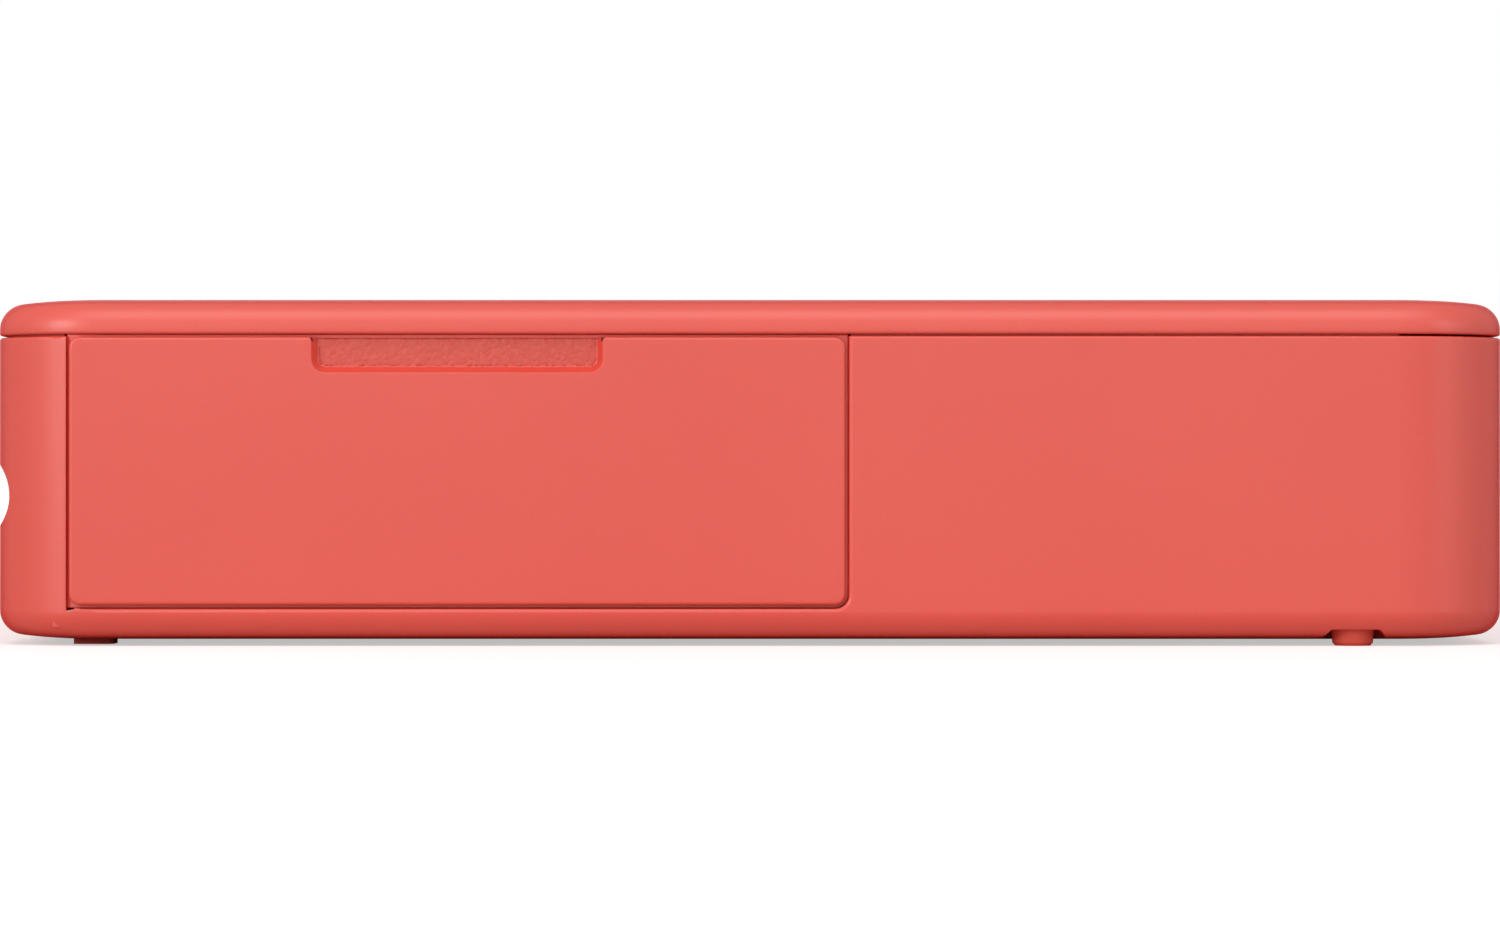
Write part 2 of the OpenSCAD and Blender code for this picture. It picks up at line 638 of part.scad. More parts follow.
module top_cover() color(coral) {
    z_roof = z_top - roof_t;
    difference() {
        union() {
            cover_shell();
            // lugs that hold the hinge pins
            for (s = [-1, 1], t = [-1, 1]) let (y = s * hinge_y + t * (ear_w + lug_w + 2 * ear_gap) / 2)
                box([x_hinge - hinge_in, y - lug_w / 2, z_rim + 0.05],
                    [x_hinge, y + lug_w / 2, z_roof + 0.5]);
            // ribs under the roof
            for (y = [-well_w / 2 + 2.5, well_w / 2 - 2.5])
                box([x_well0 - 6, y - 0.5, z_roof - 0.9], [x_well1 - 16, y + 0.5, z_roof + 0.3]);
            // hinge lugs of the pressure plate
            for (y = [-plate_lug_y, plate_lug_y]) plate_y(y - 1.2, y + 1.2) {
                translate(plate_axis) circle(1);
                translate([plate_axis[0] - 1, plate_axis[1]]) square([2, z_roof - plate_axis[1] + 0.3]);
            }
        }
        for (s = [-1, 1]) {
            // notch for the case's ear, and the blind bores of its pin
            box([x_hinge - ear_r - 0.35, s * hinge_y - ear_w / 2 - ear_gap, z_rim - 1],
                [x_hinge_end + 1, s * hinge_y + ear_w / 2 + ear_gap, z_top + 1]);
            bar_y([x_hinge, z_hinge], hinge_pin_r,
                  s * hinge_y - hinge_pin_l / 2 - 0.1, s * hinge_y + hinge_pin_l / 2 + 0.1);
            bar_y(plate_axis, plate_pin_r + running_gap, s * plate_lug_y - 2, s * plate_lug_y + 2);
        }
        translate([grip_x, 0, z_top - grip_seat]) linear_extrude(1)
            round_rect(grip_field[0], grip_field[1], grip_field[2]);
    }
    // tongues that drop inside the case wall at the slot end
    for (s = [-1, 1]) translate([x_slot + wall + 0.25, s * tongue_y - tongue_w / 2, z_part - 0.7])
        cube([0.9, tongue_w, z_roof - z_part + 1]);
    // latch hook, with its toe towards the wall
    translate([hook_x - hook_w / 2, hook_y - 0.5, z_release - 0.4]) {
        cube([hook_w, 1, z_roof - z_release + 0.7]);
        translate([0, 0, -0.8]) cube([hook_w, hook_toe + 0.5, 0.8]);
    }
}

module grip_panel() color(coral) translate([grip_x, 0, z_top - grip_seat])
    linear_extrude(grip_seat + 0.1) round_rect(grip_field[0], grip_field[1], grip_field[2]);

module cover_hinge_pins() color(steel) for (s = [-1, 1])
    bar_y([x_hinge, z_hinge], hinge_pin_r, s * hinge_y - hinge_pin_l / 2, s * hinge_y + hinge_pin_l / 2);

// Plate that presses the sheets onto the pick roller
module pressure_plate() color(graphite) {
    z0 = plate_axis[1] - plate_t / 2;
    difference() {
        translate([plate_x0 + plate_l / 2, 0, z0]) linear_extrude(plate_t) difference() {
            round_rect(plate_l, plate_w, 3);
            for (y = [-15, 15]) translate([14 - plate_l / 2, y]) round_rect(14, 8, 2);
        }
        // shallow dish that stiffens the sheet metal
        translate([plate_x0 + plate_l / 2 + 8, 0, z0 + plate_t - 0.3]) linear_extrude(1)
            round_rect(plate_l / 2, plate_w - 14, 4);
    }
    // a knuckle on each side of the cover's lugs, and the pin through them
    for (s = [-1, 1], t = [-1, 1]) let (y = s * plate_lug_y + t * 2.4) plate_y(y - 0.8, y + 0.8) {
        translate(plate_axis) circle(0.9);
        translate([plate_axis[0] - 3, z0]) square([3, plate_t]);
    }
    for (s = [-1, 1]) bar_y(plate_axis, plate_pin_r, s * plate_lug_y - 2, s * plate_lug_y + 2);
}

// ---- Cassette door -------------------------------------------------------

// The recess: sloping ends and lower side, round lower corners and a softened mouth
recess_slope = 0.55;                   // how far the ends and the lower side slope in
recess_corner_r = 1.3;
mouth_r = 0.4;
door_edge_r = 0.3;

// Cut from a door of height h, from the back of the recess at z = 0 out through the face
module recess_cut(h) {
    half = recess_l / 2;
    bottom = h - recess_h;
    beyond = recess_d + 1;
    // between the lower corners, and between the ends above them
    rotate([90, 0, 90]) linear_extrude(2 * (half - recess_corner_r), center = true) polygon([
        [bottom + recess_slope, 0], [h + 1, 0], [h + 1, beyond], [bottom, beyond], [bottom, recess_d]]);
    translate([0, h + 1, 0]) rotate([90, 0, 0]) linear_extrude(recess_h + 1 - recess_corner_r)
        polygon([[recess_slope - half, 0], [half - recess_slope, 0], [half, recess_d], [half, beyond],
                 [-half, beyond], [-half, recess_d]]);
    for (m = [0, 1]) mirror([m, 0, 0]) {
        translate([half - recess_corner_r, bottom + recess_corner_r, 0]) {
            cylinder(h = recess_d, r1 = recess_corner_r - recess_slope, r2 = recess_corner_r);
            translate([0, 0, recess_d]) cylinder(h = 1, r = recess_corner_r);
        }
        linear_extrude(beyond) difference() {
            translate([half - 0.2, h - mouth_r]) square([mouth_r + 0.2, mouth_r + 1]);
            translate([half + mouth_r, h - mouth_r]) circle(mouth_r);
        }
    }
}

// x along the door, y up it, z out of its face, from depth below the face
module on_door(depth) translate([door_xc, y_door + depth, door_z0]) rotate([90, 0, 0]) children();

module cassette_door() color(coral) {
    h = door_z1 - door_z0;
    difference() {
        union() {
            on_door(door_t) translate([0, h / 2, 0])
                slab(door_l, h, door_corner_r, door_t, [0.1, 0], [door_edge_r, 0]);
            for (x = [door_x0, door_x1 - knuckle_l])
                bar_x([y_door_axis, z_door_axis], knuckle_r, x, x + knuckle_l);
            // the back of the recess
            on_door(door_t + 0.9) translate([-recess_l / 2 - 1.5, h - recess_h - 2, 0])
                cube([recess_l + 3, recess_h + 1.2, 1.2]);
            // stiffening ribs, and the two catches under the inner deck's edge
            for (x = [9 - door_l / 2, 17 - door_l / 2, door_l / 2 - 18, door_l / 2 - 3])
                on_door(door_t + 0.8) translate([x - 0.5, 3.5, 0]) cube([1, h - 5.5, 1.1]);
            for (x = [6 - door_l / 2, door_l / 2 - 6])
                on_door(door_t + 0.5) translate([x - 3, h - 3, 0]) cube([6, 1, 0.8]);
        }
        on_door(recess_d) recess_cut(h);
        bar_x([y_door_axis, z_door_axis], door_pin_r, door_x0 - 1, door_x0 + knuckle_l);
        bar_x([y_door_axis, z_door_axis], door_pin_r, door_x1 - knuckle_l, door_x1 + 1);
    }
}

module door_hinge_pins() color(steel) {
    bar_x([y_door_axis, z_door_axis], door_pin_r, door_pin_x0, door_x0 + knuckle_l - 0.5);
    bar_x([y_door_axis, z_door_axis], door_pin_r, door_x1 - knuckle_l + 0.5, door_pin_x1);
}

// ---- Inner deck and frame ------------------------------------------------

z_deck_under = z_deck - deck_t;
deck_in = wall + deck_gap;             // the deck's edge, in from the outer face
side = frame_w / 2;
frame_boss_at = [frame_x0 + 3.5, y_frame + 1.7];
deck_screws_at = [for (at = [post_at, frame_boss_at], s = [-1, 1]) [at[0], s * at[1]]];
thumb_r = 8;                           // notches that free the sheets
gate_h = 0.9;                          // slit that lets one sheet out of the well

module deck_cuts() {
    well_xc = (x_well0 + x_well1) / 2;
    box([x_well0, -well_w / 2, z_well], [x_well1, well_w / 2, z_deck + 1]);
    box([x_well0 - well_wall - 1, 0.5 - well_w / 2, z_well],
        [x_well0 + 1, well_w / 2 - 0.5, z_well + gate_h]);
    for (s = [-1, 1]) {
        translate([x_pick - pick_r + 0.2, s * pick_tyre_y - pick_tyre_w / 2 - 0.6, z_well - 3])
            cube([2 * pick_r - 0.4, pick_tyre_w + 1.2, 4]);
        bar_z([well_xc, s * (well_w / 2 + 2)], thumb_r, z_well + 1.2, z_deck + 1);
        // the cover's tongues and the hinge ears
        translate([x_slot, s * tongue_y - tongue_w / 2 - 1, z_deck - 2]) cube([wall + 1.5, tongue_w + 2, 3]);
        translate([x_hinge - ear_r - 0.3, s * hinge_y - ear_w / 2 - 0.3, z_deck - 3])
            cube([5, ear_w + 0.6, 4]);
    }
    // latch hook, and the back of the door's finger recess
    translate([hook_x - hook_w / 2 - 0.6, hook_y - 0.9, z_deck - 2]) cube([hook_w + 1.2, 2.4, 3]);
    translate([door_xc - recess_l / 2 - 2, y_door, z_deck - 2]) cube([recess_l + 4, door_t + 1.3, 3]);
    for (p = deck_screws_at) {
        bar_z(p, screw_r, z_deck - 3, z_deck + 1);
        bar_z(p, screw_head_r + 0.1, z_deck - 0.5, z_deck + 1);
    }
    bar_y([x_hinge, z_hinge], saddle_r, -y_ctrl, y_ctrl);
}

module inner_deck() color(graphite) difference() {
    translate([0, 0, z_deck_under]) linear_extrude(deck_t)
        round_rect(case_l - 2 * deck_in, case_w - 2 * deck_in, corner_r - deck_in);
    deck_cuts();
}

// The well for the stack of sheets, which hangs under the deck
module paper_tray() color(graphite) {
    difference() {
        box([x_well0 - well_wall, -well_w / 2 - well_wall, z_well - well_floor_t],
            [x_well1 + well_wall, well_w / 2 + well_wall, z_deck_under]);
        deck_cuts();
    }
    // ribs that the stack lies on
    for (y = [6.5 - well_w / 2, -7, 7, well_w / 2 - 6.5])
        box([x_well0 + 22, y - 0.6, z_well - 0.3], [x_well1 - 6, y + 0.6, z_well + 0.2]);
}

module deck_screws() color(steel)
    for (p = deck_screws_at) screw(p, screw_head_r, screw_r, z_deck - 0.5, z_deck + 0.2, z_deck - 6);

arm_top = z_board;                     // the frame's long arms carry the board
x_board0 = base_x1 + 13.5;
post_out = 1.2;                        // posts of the board, out from the frame's side walls
board_posts = [for (x = [x_board0 + 3, frame_x1 - 4], s = [-1, 1]) [x, s * (y_frame + post_out)]];
board_screw_r = 0.8;

// Outline of the frame's side walls, in X and Z
module side_profile() difference() {
    polygon([[frame_x0, z_floor], [frame_x1, z_floor], [frame_x1, arm_top], [base_x1 + 6, arm_top],
             [base_x1, z_deck_under], [frame_x0 + 3, z_deck_under], [frame_x0, z_deck_under - 3]]);
    // windows that lighten the wall
    for (x = [base_x1 + 3, (base_x1 + frame_x1) / 2 + 1.5]) translate([x, z_floor + 2])
        square([(frame_x1 - base_x1) / 2 - 4.5, z_path - z_floor - 5]);
    translate([x_print + 10.5, z_path + 7]) round_rect(6, 8, 1);
}

// Outline of the opening that the cassette slides in through
module cassette_profile() {
    for (x = [x_takeup, x_supply]) translate([x, z_spool]) circle(tube_r + 0.5);
    translate([x_takeup, head_pivot[1] + 2.3]) square([x_supply - x_takeup, z_path - head_pivot[1] - 2.4]);
    translate([x_takeup - tube_r - 0.5, z_spool]) square([tube_r + 1, 3]);
}

module frame_base() color(charcoal) difference() {
    union() {
        box([frame_x0, -side, z_floor], [base_x1, side, z_floor + base_t]);
        for (p = screw_places) {
            bar_z(p, boss_r + 1.1, z_floor, boss_top + 1);
            bar_z(p, screw_r + 1, z_floor, boss_top + 2.5);
        }
    }
    for (p = screw_places) {
        bar_z(p, boss_r + 0.1, z_floor - 1, boss_top);
        bar_z(p, screw_r, z_floor, boss_top + 2);
    }
    // lightening holes between the spools
    for (y = [-24, 0, 24]) translate([x_print - 8, y, z_floor - 1]) linear_extrude(3) round_rect(12, 14, 2);
}

// What both side walls have, drawn on the control side
module side_wall() {
    plate_y(side, y_frame) side_profile();
    bar_z(frame_boss_at, 2.2, z_deck_under - 6, z_deck_under);
    for (p = board_posts) if (p[1] > 0) bar_z(p, 2, arm_top - 4, arm_top);
}

// Bearings and screw holes of both side walls
module side_wall_bores() {
    for (c = roller_centres) bar_y(c, bearing_r, -y_frame - 1, y_frame + 1);
    bar_y(head_pivot, head_pin_r, -y_frame - 1, y_frame + 1);
    for (p = board_posts) bar_z(p, board_screw_r, arm_top - 3.5, arm_top + 1);
    for (s = [-1, 1]) bar_z([frame_boss_at[0], s * frame_boss_at[1]], screw_r, z_deck - 6, z_deck);
}

module drive_side_wall() color(charcoal) difference() {
    union() {
        side_wall();
        // boss of the idler's stud
        bar_y(idler_c, 2, side + 0.3, y_gear0 - 0.1);
    }
    side_wall_bores();
    for (c = [takeup_c, supply_c]) bar_y(c, hub_r + running_gap, side - 1, y_frame + 1);
    bar_y(motor_c, motor_boss_r, side - 1, y_frame + 1);
    bar_y(pick_motor_c, pick_boss_r, side - 1, y_frame + 1);
    bar_y(idler_c, stud_r, side - 1, y_gear0 + 1);
}

module door_side_wall() color(charcoal) difference() {
    union() {
        mirror([0, 1, 0]) side_wall();
        // boss of the lever's pin
        bar_y(lever_c, 2.2, -y_frame - 0.8, -side - 0.3);
    }
    side_wall_bores();
    bar_y(lever_c, stud_r, -y_frame - 2, -side + 1);
    plate_y(-y_frame - 1, -side + 1) cassette_profile();
}

// The sheet slides down this from the well to the capstan
ramp_top = [x_print - 6, z_well];
ramp_tip = [x_exit + 5, z_path + 1];
ramp_t = 0.7;
ramp_rib_h = 0.25;

// A band of thickness t that follows the ramp, its upper face at lift above the sheet's path
module ramp_band(lift, t, tip) {
    far = x_well0 - well_wall;
    polygon([[far, z_well + lift], [ramp_top[0], z_well + lift], tip + [0, lift],
             tip + [0.4, lift - t], [ramp_top[0], z_well + lift - t], [far, z_well + lift - t]]);
}

module paper_ramp() color(charcoal) {
    plate_y(-side, side) ramp_band(-0.1, ramp_t, ramp_tip);
    // ribs that keep the sheet off the ramp
    for (i = [-3:3]) plate_y(i * 11 - 0.5, i * 11 + 0.5)
        ramp_band(ramp_rib_h - 0.1, ramp_rib_h + ramp_t / 2, ramp_tip + [1.6, 0.7]);
}

guide_gap = 0.9;                       // half the height left for the sheet
guide_t = 1;
guide_flare = 0.9;                     // how far the mouths open
guide_rib = 0.4;
guide_ribs_y = [-28, -14, 0, 14, 28];
x_guide_up = x_print + platen_r + 1.6;
x_guide_low = x_supply + tube_r + 1.4;

// Half of the flat duct that takes the sheet back under the well, with x0 its mouth; z above the path
module guide_half(x0) {
    plate_y(-side, side) polygon([
        [x0, guide_gap + guide_flare], [x0 + 2.5, guide_gap], [frame_x1, guide_gap],
        [frame_x1, guide_gap + guide_t], [x0 + 2.5, guide_gap + guide_t], [x0, guide_gap + guide_t + 0.6]]);
    for (y = guide_ribs_y)
        box([x0 + 4, y - 0.5, guide_gap - guide_rib], [frame_x1 - 2, y + 0.5, guide_gap + 0.3]);
}

module return_guide_upper() color(graphite) translate([0, 0, z_path]) guide_half(x_guide_up);

module return_guide_lower() color(graphite) translate([0, 0, z_path]) difference() {
    mirror([0, 0, 1]) guide_half(x_guide_low);
    for (y = [-21, 21], x = [16, 38])
        translate([x_guide_low + x, y, -3]) linear_extrude(4) round_rect(14, 10, 2);
}

// ---- Rollers -------------------------------------------------------------

module capstan_roller() color(steel) {
    difference() {
        bar_y(capstan_c, capstan_r, -roller_w / 2, roller_w / 2);
        // shallow grooves between the gritted bands
        for (y = [-24:12:24]) groove(capstan_c, capstan_r, y, 2);
    }
    bar_y(capstan_c, journal_r, -y_frame - 0.5, y_gear0 + gear_w + 0.4);
}

// A ring to cut from a roller of radius r: l wide, round y
module groove(c, r, y, l) difference() {
    bar_y(c, r + 1, y - l / 2, y + l / 2);
    bar_y(c, r - 0.3, y - l, y + l);
}

module capstan_gear() color(white) gear(capstan_c, n_capstan, turn_capstan, journal_r);

module pinch_roller() color(rubber) {
    for (i = [-1.5:1.5]) let (y = i * (roller_w - 10) / 3) bar_y(pinch_c, capstan_r, y - 4.5, y + 4.5);
    bar_y(pinch_c, journal_r + 0.3, -roller_w / 2 - 0.8, roller_w / 2 + 0.8);
    bar_y(pinch_c, journal_r, -y_frame - 0.5, y_frame + 0.5);
}

module platen_roller() color(rubber) difference() {
    bar_y(platen_c, platen_r, -roller_w / 2, roller_w / 2);
    bar_y(platen_c, journal_r, -roller_w, roller_w);
}

module platen_shaft() color(steel) bar_y(platen_c, journal_r, -y_frame - 0.5, y_frame + 0.5);

module roller_bushes() color(brass) for (c = roller_centres, m = [0, 1]) mirror([0, m, 0]) difference() {
    union() {
        bar_y(c, bearing_r, side, y_frame);
        bar_y(c, bearing_r + 0.5, side - 0.4, side);
    }
    bar_y(c, journal_r + running_gap, side - 1, y_frame + 1);
}

pick_tyre_w = 12;
pick_tyre_y = 16;
module pick_roller() color(rubber) for (s = [-1, 1]) difference() {
    bar_y(pick_c, pick_r, s * pick_tyre_y - pick_tyre_w / 2, s * pick_tyre_y + pick_tyre_w / 2);
    bar_y(pick_c, journal_r, -roller_w, roller_w);
    for (t = [-3:3:3]) groove(pick_c, pick_r, s * pick_tyre_y + t, 0.6);
}

module pick_shaft() color(steel) bar_y(pick_c, journal_r, -y_frame - 0.5, y_gear0 + gear_w + 0.4);
module pick_gear() color(white) gear(pick_c, n_pick, turn_pick, journal_r);

// ---- Drive ---------------------------------------------------------------

stud_r = 0.8;
motor_shaft_r = 0.75;
motor_boss_r = 1.6;
pick_motor_r = 3;
pick_motor_l = 12;
pick_motor_shaft_r = 0.6;
pick_boss_r = 1.3;

// A can motor with flats, a front boss, a tail bearing and terminals, its shaft towards +Y
module motor(c, r, l, boss, shaft) difference() {
    union() {
        difference() {
            bar_y(c, r, side - l, side);
            for (m = [0, 1]) translate([c[0], 0, c[1]]) mirror([m, 0, 0])
                translate([r - 0.4, side - l - 1, -r]) cube([2, l + 2, 2 * r]);
        }
        bar_y(c, boss, side - 0.3, side + 0.8);
        bar_y(c, boss + 0.2, side - l - 0.8, side - l + 0.3);
        for (s = [-1, 1])
            translate([c[0] - 0.3, side - l - 1.6, c[1] + s * (r - 1.2) - 0.4]) cube([0.6, 1.9, 0.8]);
    }
    bar_y(c, shaft + running_gap, side - 2, side + 2);
}

module feed_motor() color(steel) motor(motor_c, motor_r, motor_l, motor_boss_r, motor_shaft_r);
module pick_motor() color(steel)
    motor(pick_motor_c, pick_motor_r, pick_motor_l, pick_boss_r, pick_motor_shaft_r);

// A pinion pressed on the end of a motor shaft
module pinion(c, n, turn, shaft) {
    gear(c, n, turn, shaft);
    bar_y(c, shaft, side - 1.8, y_gear0 + gear_w + 0.3);
}

module motor_pinion() color(brass) pinion(motor_c, n_pinion, turn_pinion, motor_shaft_r);
module pick_motor_pinion() color(brass)
    pinion(pick_motor_c, n_pick_pinion, turn_pick_pinion, pick_motor_shaft_r);

module idler_gear() color(white) gear(idler_c, n_idler, turn_idler, stud_r + running_gap);
module idler_stud() color(steel) {
    bar_y(idler_c, stud_r, side - 0.2, y_gear0 + gear_w + 0.4);
    bar_y(idler_c, 1.5, y_gear0 + gear_w + 0.1, y_gear0 + gear_w + 0.6);
}

// ---- Ribbon drive and cassette -------------------------------------------

hub_r = 1.8;
spline_r = 1.5;
spline_n = 6;

// The hub's splined nose, which enters the spool
module spline(r, l, n, w) {
    cylinder(h = l, r = r);
    for (i = [0:n - 1]) rotate(360 / n * i) translate([0, -w / 2, 0]) cube([r + 0.5, w, l]);
}

module hub(c) {
    translate([c[0], side - 0.4, c[1]]) rotate([90, 0, 0]) spline(spline_r - 0.2, 2.6, spline_n, 0.5);
    bar_y(c, hub_r + 0.6, side - 0.5, side - 0.1);
    bar_y(c, hub_r, side - 0.2, y_gear0 + 0.2);
}

module take_up_hub() color(white) {
    hub(takeup_c);
    gear(takeup_c, n_takeup, turn_takeup, spline_r / 2);
}

module supply_hub() color(white) {
    hub(supply_c);
    bar_y(supply_c, hub_r + 1.4, y_frame + 0.1, y_gear0 + 0.6);
}

// Core, flanges and journal, with a splined socket for the hub
module spool(x) {
    c = [x, z_spool];
    difference() {
        union() {
            bar_y(c, core_r, cassette_y0 + 3.1, cassette_y1 - 0.6);
            for (y = [cassette_y0 + 4, cassette_y1 - 3]) bar_y(c, tube_r - tube_t - 0.25, y, y + 0.6);
            bar_y(c, 1.5, cassette_y0 + 0.4, cassette_y0 + 3.3);
        }
        translate([x, cassette_y1 + 0.4, z_spool]) rotate([90, 0, 0]) spline(spline_r, 3.4, spline_n, 0.9);
    }
}

module wound_film(x, roll) difference() {
    bar_y([x, z_spool], roll, cassette_y0 + 4.8, cassette_y1 - 3.2);
    bar_y([x, z_spool], core_r, cassette_y0, cassette_y1);
}

core_r = 2.4;
takeup_roll_r = 2.9;
module take_up_spool() color(charcoal) spool(x_takeup);
module supply_spool() color(charcoal) spool(x_supply);
module take_up_roll() color("#3A2530") wound_film(x_takeup, takeup_roll_r);
module supply_roll() color("#3A2530") wound_film(x_supply, roll_r);

cap_t = 3;                             // thickness of the cassette's grip end
bridge_t = 1;

module cassette_frame() color(white) difference() {
    union() {
        for (c = [takeup_c, supply_c]) bar_y(c, tube_r, cassette_y0 + 2, cassette_y1);
        plate_y(cassette_y0, cassette_y0 + cap_t) {
            for (c = [takeup_c, supply_c]) translate(c) circle(tube_r);
            translate([x_takeup, z_spool]) square([x_supply - x_takeup, z_film - 0.3 - z_spool]);
        }
        // bridge at the far end, and grip ribs on the near end
        box([x_takeup, cassette_y1 - bridge_t, z_path - 1.9], [x_supply, cassette_y1, z_film - 0.3]);
        for (i = [-3:3])
            translate([x_print + i * 2.4 - 0.4, cassette_y0 - 0.5, z_spool + 3.2]) cube([0.8, 0.8, 1.4]);
    }
    for (c = [takeup_c, supply_c]) {
        bar_y(c, tube_r - tube_t, cassette_y0 + 2.8, cassette_y1 + 1);
        bar_y(c, 1.5 + running_gap, cassette_y0 - 1, cassette_y0 + 4);
    }
    // the ribbon leaves each tube through a slit towards the middle
    for (m = [0, 1], c = [m == 0 ? takeup_c : supply_c]) translate([c[0], 0, z_spool]) mirror([m, 0, 0])
        box([1, cassette_y0 + 4.2, 1.2], [tube_r + 1, cassette_y1 - 2, 4.45]);
    // thumb hollow in the grip
    plate_y(cassette_y0 - 1, cassette_y0 + 1.4) translate([x_print, z_spool + 1.6]) round_rect(18, 2.4, 1);
}

// The film: off one roll, level over the print head, and onto the other roll
module ribbon_film() color("#3A2530") {
    dip = 0.9;
    line = [[x_takeup, z_spool + takeup_roll_r + 0.03], [x_takeup + tube_r + 0.8, z_film - dip],
            [x_print - 8, z_film], [x_print + 8, z_film],
            [x_supply - tube_r - 0.8, z_film - dip], [x_supply, z_spool + roll_r + 0.03]];
    plate_y(cassette_y0 + 5.2, cassette_y1 - 3.4)
        polygon(concat(line, [for (i = [len(line) - 1:-1:0]) line[i] + [0, film_t]]));
}

// ---- Thermal head --------------------------------------------------------

head_pin_r = 0.9;
arm_y = head_w / 2 + 0.6;
arm_t = 1;
sink_l = 8.8;                          // heat sink, along X
sink_h = 3.4;
z_sink = head_top - 1;                 // top of the heat sink
fin_pitch = 1.2;

module head_arms() color(steel) for (m = [0, 1]) mirror([0, m, 0]) difference() {
    plate_y(arm_y, arm_y + arm_t) {
        translate(head_pivot) circle(1.9);
        polygon([[head_pivot[0] + 0.6, head_pivot[1] + 1.8], [head_pivot[0] + 0.4, head_pivot[1] - 1.8],
                 [x_print - sink_l / 2, z_floor + base_t + 1.2], [x_print - sink_l / 2, head_top - 0.8],
                 [x_print + sink_l / 2, head_top - 0.8]]);
    }
    bar_y(head_pivot, head_pin_r + running_gap, side - 10, y_frame);
}

module head_heat_sink() color("#A9ADB3") difference() {
    box([x_print - sink_l / 2, -arm_y, z_sink - sink_h], [x_print + sink_l / 2, arm_y, z_sink]);
    // cooling fins below
    for (i = [-3:3])
        translate([x_print + i * fin_pitch - 0.35, -arm_y - 1, z_sink - 4]) cube([0.7, 2 * arm_y + 2, 2.6]);
}

module print_head() color("#D9D3C4") plate_y(-head_w / 2, head_w / 2) {
    // base with a lower step for the driver chips
    translate([x_print - sink_l / 2 + 0.4, z_sink]) square([sink_l / 2 + 1.2, 0.7]);
    translate([x_print, z_sink]) square([sink_l / 2 - 0.4, 0.5]);
    // glazed bead with the heating dots
    intersection() {
        translate([x_print - 1, z_sink + 0.1]) circle(0.9);
        translate([x_print - 3, z_sink + 0.6]) square([4, 1]);
    }
}

module head_pivot_pins() color(steel) for (m = [0, 1]) mirror([0, m, 0])
    bar_y(head_pivot, head_pin_r, arm_y - 0.3, y_frame + 0.4);

// Bent leaf springs between the base and the heat sink
module head_springs() color(steel) {
    rise = z_sink - sink_h - z_floor - base_t - 0.35;
    line = [[-15, 0], [-12, 0], [-3, rise], [2, rise - 0.3]];
    for (y = [-20, 20]) plate_y(y - 3, y + 3) translate([x_print, z_floor + base_t])
        polygon(concat(line, [for (i = [len(line) - 1:-1:0]) line[i] + [0, 0.3]]));
}

// ---- Cassette lever ------------------------------------------------------

lever_c = [x_print + 22, z_path + 5.4];
lever_y = cassette_y0 - 0.9;
lever_drop = 8.6;
lever_foot = [lever_c[0], lever_c[1] - lever_drop];

module cassette_lever() color("#D8D5CE") difference() {
    union() {
        plate_y(lever_y - 0.5, lever_y + 0.5) {
            translate(lever_c) circle(2.4);
            translate(lever_foot - [1.5, 0]) square([3, lever_drop]);
            translate(lever_foot) circle(2.2);
        }
        bar_y(lever_foot, 1.2, lever_y - 1.1, lever_y);
        bar_y(lever_c, 1.7, lever_y - 0.3, -y_frame - 0.9);
    }
    bar_y(lever_c, stud_r + running_gap, lever_y - 2, -y_frame);
}

module lever_pin() color(steel) {
    bar_y(lever_c, stud_r, lever_y - 0.6, -y_frame);
    bar_y(lever_c, 1.5, lever_y - 1, lever_y - 0.6);
}

// ---- Controls ------------------------------------------------------------

module release_slider() color(graphite) {
    x = x_release - release_travel / 2;
    // grip outside, with three ribs cut into it, and its neck
    difference() {
        on_ctrl(x, z_release, 0, grip_d) round_rect(grip_l, grip_h, 0.8);
        for (i = [-1:1]) on_ctrl(x + i * 1.2, z_release, 1, 0.3) square([0.4, 1.5], center = true);
    }
    on_ctrl(x, z_release, 0.3 - grip_d, wall + 0.5) square([grip_l - 0.4, grip_h - 0.2], center = true);
    // sliding plate inside, and the catch beside the hook's toe
    translate([x_release - 9, y_inner - 1.1, z_release - slider_h / 2]) cube([21, 1, slider_h]);
    box([hook_x + hook_w / 2 - 1.2, hook_y + hook_toe + hook_play, z_release - 0.35],
        [hook_x + hook_w / 2 + 3.4, y_inner - 0.9, z_release + 0.8]);
}

spring_r = 1;
spring_wire_r = 0.22;
spring_turns = 6;
module slider_spring() color(steel)
    translate([x_release + 12.05, y_inner - 1.5, z_release]) rotate([0, 90, 0])
        linear_extrude(spring_end - 12.1, twist = -360 * spring_turns, slices = 16 * spring_turns, $fn = 8)
            translate([spring_r, 0]) circle(spring_wire_r);

button_sink = 0.2;                     // the button's face, below the outer face
module power_button() color("#D65B4F") {
    on_ctrl(x_button, z_control, -button_sink, wall + 0.7) pill(button_l, button_h);
    on_ctrl(x_button, z_control, -wall - 0.3, wall + 0.7) pill(button_l + 2, button_h + 1.4);
}

module power_switch() color(charcoal) {
    translate([x_button - 3, y_inner - 4.6, z_board + board_t]) cube([6, 2.7, 3.2]);
    bar_y([x_button, z_control], 1, y_inner - 2.2, y_inner - 0.75 - button_travel);
}

module light_guides() color(white) for (i = [0:light_count - 1]) {
    c = [x_light0 + i * light_pitch, z_control];
    bar_y(c, light_r, y_inner - 2.2, y_ctrl);
    box([c[0] - 0.9, y_inner - 3.4, z_board + board_t], [c[0] + 0.9, y_inner - 1.6, z_control + 0.9]);
}

